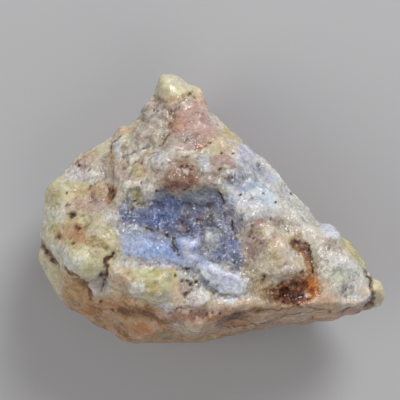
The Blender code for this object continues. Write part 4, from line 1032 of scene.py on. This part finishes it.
# Its surface: broken in chips, each tilted its own way, sugary where the mineral is granular,
# and sunk where a crack runs.
CHIPS = [(5.0, 0.32, 1), (2.4, 0.15, 2), (1.2, 0.06, 3)]  # how wide and how deep in mm, and a seed
CHIP_TILT = 0.5  # how steeply chips lean, as a share of their depth over their width
CHIP_STEP = 0.35  # how far their levels lie apart, as a share of their depth
CHIP_WAVE = (0.8, 0.25)  # how their borders waver: size and reach, as shares of their width
CHIP_BEVEL = 0.22  # how wide the edge between two is rounded, as a share of their width
PLAIN_DEPTH = 0.35  # how much of the chips' depth a mineral has that is not sugary at all
SUGARY_DEPTH = 0.75  # how much more of it the most sugary one has
SUGAR = [(1.3, 11, 0.07), (0.7, 12, 0.035)]  # sugary grains: size in mm, seed, and height in mm
PLAIN_SUGAR = 0.4  # how much of that height a mineral has that is not sugary at all
CRACK_DEPTH = {"jet": 0.2, "umber": 0.1}  # mm
FLAT_REST = 0.5  # mm above the resting face where the relief starts


def chipped(points, size, depth, seed):
    """Flat facets of about this size, each with its own level and tilt."""
    rng = np.random.default_rng(seed)
    area = sum(face.area for face in stone.data.polygons) / MM**2
    centres = points[rng.choice(len(points), int(area / size**2), replace=False)]
    tilts = rng.normal(0.0, CHIP_TILT, centres.shape)
    levels = rng.normal(0.0, CHIP_STEP, len(centres))
    tree = kdtree.KDTree(len(centres))
    for number, centre in enumerate(centres):
        tree.insert(centre, number)
    tree.balance()
    wave, reach = CHIP_WAVE
    warped = points + drift(points, size * wave, seed) * size * reach
    found = [tree.find_n(p, 2) for p in warped]
    near = np.array([(a[1], b[1]) for a, b in found])
    gap = np.array([b[2] - a[2] for a, b in found]) / size
    first, second = [
        np.einsum("ij,ij->i", tilts[near[:, n]], (warped - centres[near[:, n]]) / size) + levels[near[:, n]]
        for n in (0, 1)
    ]
    edge = 0.5 * smooth_step(0.0, CHIP_BEVEL, gap) + 0.5
    return depth * (first * edge + second * (1.0 - edge))


grit = share @ np.array([CREAM[2], *(look[2] for look in MINERALS.values())])
relief = sum(chipped(points, *chip) for chip in CHIPS) * (PLAIN_DEPTH + SUGARY_DEPTH * grit)
for size, seed, height in SUGAR:
    relief += drift(points, size, seed)[:, 0] * height * (PLAIN_SUGAR + grit)
relief += lift - sum(depth * share[:, mineral_index[mineral]] for mineral, depth in CRACK_DEPTH.items())
relief *= smooth_step(0.0, FLAT_REST, points[:, 2])
points = points + outward * relief[:, None]
points[:, 2] = np.maximum(points[:, 2], 0.0)
outward = shaped(points)

# What the finish reads at each vertex: how deep it lies in a hollow, how sugary it is, and how
# much of each mineral shows over those laid before it.
HOLLOWS = [(3, 0.16), (40, 1.2)]  # how often the skin is evened, and the depth in mm that counts as 1
TRACE = 0.001  # a share too small to see


def store(name, values):
    """Keeps a value for each vertex, for the material to read by name."""
    layer = stone.data.attributes.new(name, "FLOAT", "POINT")
    layer.data.foreach_set("value", values.astype(np.float32))


sunk = np.zeros(len(points))
for times, depth in HOLLOWS:
    sunk += np.einsum("ij,ij->i", evened(points, times) - points, outward) / depth
store("hollow", np.clip(sunk, -1.0, 1.0))
store("grit", grit)
under = np.cumsum(share, axis=1)
for name, number in mineral_index.items():
    store(name, share[:, number] / (under[:, number] + TRACE))

# Its finish: broken vein mineral, waxy to glassy, with a little light passing into it. That
# gives the eye small sharp lights on the smooth lobes, a soft glow in the pale parts, and
# sparkles, partly painted glints, and fine dirt on the sugary breaks. The real grains are 0.1 to 0.5 mm, too
# fine to show at 0.3 mm to a dot, so grains, painted glints and bumps are drawn at 0.5 to 0.8 mm.
NOISES = {  # the size of the largest features in mm, how much finer detail, and how rough that is
    "mottle": (2.2, 6.0, 0.62),  # pale and dark clouds
    "ragged": (1.0, 4.0, 0.62),  # borders between minerals
    "fine": (0.5, 3.0, 0.6),  # grains within them
    "broad": (7.0, 3.0, 0.5),  # slow drifts of hue
    "pits": (1.6, 3.0, 0.6),  # fine lines where dirt sits
    "painted_glints": (0.8, 2.0, 0.6),  # lines of painted glints
    "bumps": (0.7, 5.0, 0.6),  # the roughness of each face
}
GRAIN_SIZE = 0.55  # mm
TIMES = {"operation": "MULTIPLY"}
TIMES_PLUS = {"operation": "MULTIPLY_ADD"}
MINUS = {"operation": "SUBTRACT"}
MIXED = {"data_type": "RGBA"}
STAINED = {"data_type": "RGBA", "blend_type": "MULTIPLY"}
FACTOR, UNDER, OVER, RESULT = 0, 6, 7, 2  # a colour mix's inputs and its output, by number

hackmanite = bpy.data.materials.new("broken_hackmanite")
hackmanite.use_nodes = True
tree = hackmanite.node_tree
shader = tree.nodes["Principled BSDF"]


def add_node(kind, settings, inputs, output=0):
    """Adds a node with its settings and a value or a link for each input, and gives one of its outputs."""
    made = tree.nodes.new("ShaderNode" + kind)
    for name, value in settings.items():
        setattr(made, name, value)
    for name, value in inputs.items():
        if isinstance(value, bpy.types.NodeSocket):
            tree.links.new(value, made.inputs[name])
        else:
            made.inputs[name].default_value = value
    return made.outputs[output]


place = add_node("TexCoord", {}, {}, "Object")
in_mm = add_node("VectorMath", {"operation": "SCALE"}, {0: place, "Scale": 1 / MM})
noise = {}
for name, (size, detail, roughness) in NOISES.items():
    look = {"Vector": in_mm, "Scale": 1 / size, "Detail": detail, "Roughness": roughness}
    noise[name] = add_node("TexNoise", {}, look)
grain = add_node("TexVoronoi", {}, {"Vector": in_mm, "Scale": 1 / GRAIN_SIZE}, "Color")
hollow = add_node("Attribute", {"attribute_name": "hollow"}, {}, "Fac")
sugary = add_node("Attribute", {"attribute_name": "grit"}, {}, "Fac")

# Every mineral is mottled between its pale and its dark tone, and pushed towards its dark tone in hollows as
# painted shade.
MOTTLED = {"From Min": 0.32, "From Max": 0.68}
GRAIN_TONE = 0.22  # how much the tone differs from grain to grain
MEAN_TONE = 0.61  # what the grains and the fine noise add on average, taken off again
HOLLOW_SHADE = 0.32  # how much painted shade darkens a hollow
TONES = {"From Min": -0.15, "From Max": 1.15}

grain_tone = add_node("SeparateColor", {}, {0: grain})
tone = add_node("MapRange", {}, {"Value": noise["mottle"], **MOTTLED})
tone = add_node("Math", TIMES_PLUS, {0: grain_tone, 1: GRAIN_TONE, 2: tone})
tone = add_node("Math", MINUS, {0: tone, 1: MEAN_TONE})
tone = add_node("Math", {"operation": "ADD"}, {0: tone, 1: noise["fine"]})
# painted shade: hollows take more of each mineral's dark tone
tone = add_node("Math", TIMES_PLUS, {0: hollow, 1: HOLLOW_SHADE, 2: tone})
tone = add_node("MapRange", {}, {"Value": tone, **TONES})

# Where two minerals meet, their border is ragged by grains rather than blended.
BORDER_GRAIN = 4.5  # how strongly the noise acts where both are present

colour = add_node("Mix", MIXED, {FACTOR: tone, UNDER: linear(CREAM[0]), OVER: linear(CREAM[1])}, RESULT)
unsure = add_node("Math", MINUS, {0: noise["ragged"], 1: 0.5})
for name, (pale, dark, _) in MINERALS.items():
    amount = add_node("Attribute", {"attribute_name": name}, {}, "Fac")
    rest = add_node("Math", MINUS, {0: 1.0, 1: amount})
    between = add_node("Math", TIMES, {0: amount, 1: rest})
    between = add_node("Math", TIMES, {0: between, 1: unsure})
    mask = add_node("Math", TIMES_PLUS, {0: between, 1: BORDER_GRAIN, 2: amount})
    mask = add_node("MapRange", {}, {"Value": mask})
    own = add_node("Mix", MIXED, {FACTOR: tone, UNDER: linear(pale), OVER: linear(dark)}, RESULT)
    colour = add_node("Mix", MIXED, {FACTOR: mask, UNDER: colour, OVER: own}, RESULT)

# Over all of them, the hue drifts slowly, the hollows turn brown, partly dirt and partly painted shade,
# dirt lies in fine pitted lines, and thin white lines on the pale mottle of sugary grains are painted glints.
HUE_DRIFT = 0.24  # how far each of red, green and blue drifts, as a share of it
HOLLOW_DIRT_AND_SHADE = "A88F7C"
DIRT_AND_SHADE_DEPTHS = {"From Min": 0.2, "From Max": 1.0}  # the hollow where it starts and where it is full
DIRT_AND_SHADE_STRENGTH = 0.7
PIT_DIRT = "8A6F5C"
PIT_WIDTH = 0.02  # how wide the lines are, in the noise's own units
PIT_PLACES = {"From Min": 0.5, "From Max": 0.58}  # where the broad noise is high
PIT_STRENGTH = 0.6
PAINTED_GLINT = "F2F0EC"
GLINT_WIDTH = 0.03
GLINT_PLACES = {"From Min": 0.5, "From Max": 0.42}  # where the mottle is pale
GLINT_HOLLOWS = {"From Min": 0.9, "From Max": 0.0}  # and not in hollows
GLINT_STRENGTH = 0.6


def thin_lines(value, width):
    """1 along the lines where a noise passes its middle, falling to 0 within this much of it."""
    off = add_node("Math", MINUS, {0: value, 1: 0.5})
    off = add_node("Math", {"operation": "ABSOLUTE"}, {0: off})
    return add_node("MapRange", {}, {"Value": off, "From Min": width, "From Max": 0.0})


drifting = noise["broad"].node.outputs["Color"]
hue = add_node("VectorMath", TIMES_PLUS, {0: drifting, 1: [HUE_DRIFT] * 3, 2: [1.0 - HUE_DRIFT / 2] * 3})
colour = add_node("Mix", STAINED, {FACTOR: 1.0, UNDER: colour, OVER: hue}, RESULT)
# hollows turn brown: partly dirt, partly painted shade
dirt_and_shade = add_node("MapRange", {"interpolation_type": "SMOOTHSTEP"}, {"Value": hollow, **DIRT_AND_SHADE_DEPTHS})
dirt_and_shade = add_node("Math", TIMES, {0: dirt_and_shade, 1: DIRT_AND_SHADE_STRENGTH})
colour = add_node("Mix", STAINED, {FACTOR: dirt_and_shade, UNDER: colour, OVER: linear(HOLLOW_DIRT_AND_SHADE)}, RESULT)
pits = add_node("MapRange", {}, {"Value": noise["broad"], **PIT_PLACES})
pits = add_node("Math", TIMES, {0: thin_lines(noise["pits"], PIT_WIDTH), 1: pits})
pits = add_node("Math", TIMES, {0: pits, 1: PIT_STRENGTH})
colour = add_node("Mix", STAINED, {FACTOR: pits, UNDER: colour, OVER: linear(PIT_DIRT)}, RESULT)
# painted glints: thin white lines on the pale mottle of sugary grains, kept out of hollows
painted_glints = add_node("MapRange", {}, {"Value": noise["mottle"], **GLINT_PLACES})
painted_glints = add_node("Math", TIMES, {0: thin_lines(noise["painted_glints"], GLINT_WIDTH), 1: painted_glints})
open_to_light = add_node("MapRange", {}, {"Value": hollow, **GLINT_HOLLOWS})
for amount in (open_to_light, sugary, GLINT_STRENGTH):
    painted_glints = add_node("Math", TIMES, {0: painted_glints, 1: amount})
colour = add_node("Mix", MIXED, {FACTOR: painted_glints, UNDER: colour, OVER: linear(PAINTED_GLINT)}, RESULT)
tree.links.new(colour, shader.inputs["Base Color"])

# Each grain's face leans its own way, more where the mineral is sugary, and is slightly rough.
GRAIN_LEAN = {"From Min": 0.3, "From Max": 1.0, "To Min": 0.15, "To Max": 1.3}  # for how sugary it is
BUMP_HEIGHT = 0.12  # mm

off_centre = add_node("VectorMath", MINUS, {0: in_mm, 1: grain.node.outputs["Position"]})
lean = add_node("VectorMath", MINUS, {0: grain, 1: (0.5, 0.5, 0.5)})
facet = add_node("VectorMath", {"operation": "DOT_PRODUCT"}, {0: off_centre, 1: lean}, "Value")
leaning = add_node("MapRange", {}, {"Value": sugary, **GRAIN_LEAN})
facet = add_node("Math", TIMES, {0: facet, 1: leaning})
height = add_node("Math", TIMES_PLUS, {0: noise["bumps"], 1: BUMP_HEIGHT, 2: facet})
bump = add_node("Bump", {}, {"Distance": MM, "Height": height})
tree.links.new(bump, shader.inputs["Normal"])

# A broken glassy mineral under a thin moist gloss, with light passing 1 to 2 mm into it.
shader.inputs["Roughness"].default_value = 0.18
shader.inputs["IOR"].default_value = 1.5  # near sodalite's 1.48
shader.inputs["Coat Weight"].default_value = 0.27
shader.inputs["Coat Roughness"].default_value = 0.12
shader.inputs["Subsurface Weight"].default_value = 0.45
shader.inputs["Subsurface Radius"].default_value = (1.0, 0.85, 0.7)
shader.inputs["Subsurface Scale"].default_value = 1.6 * MM
stone.data.materials.append(hackmanite)
stone.data.shade_smooth()
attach(stone, "root")
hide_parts(NODE)
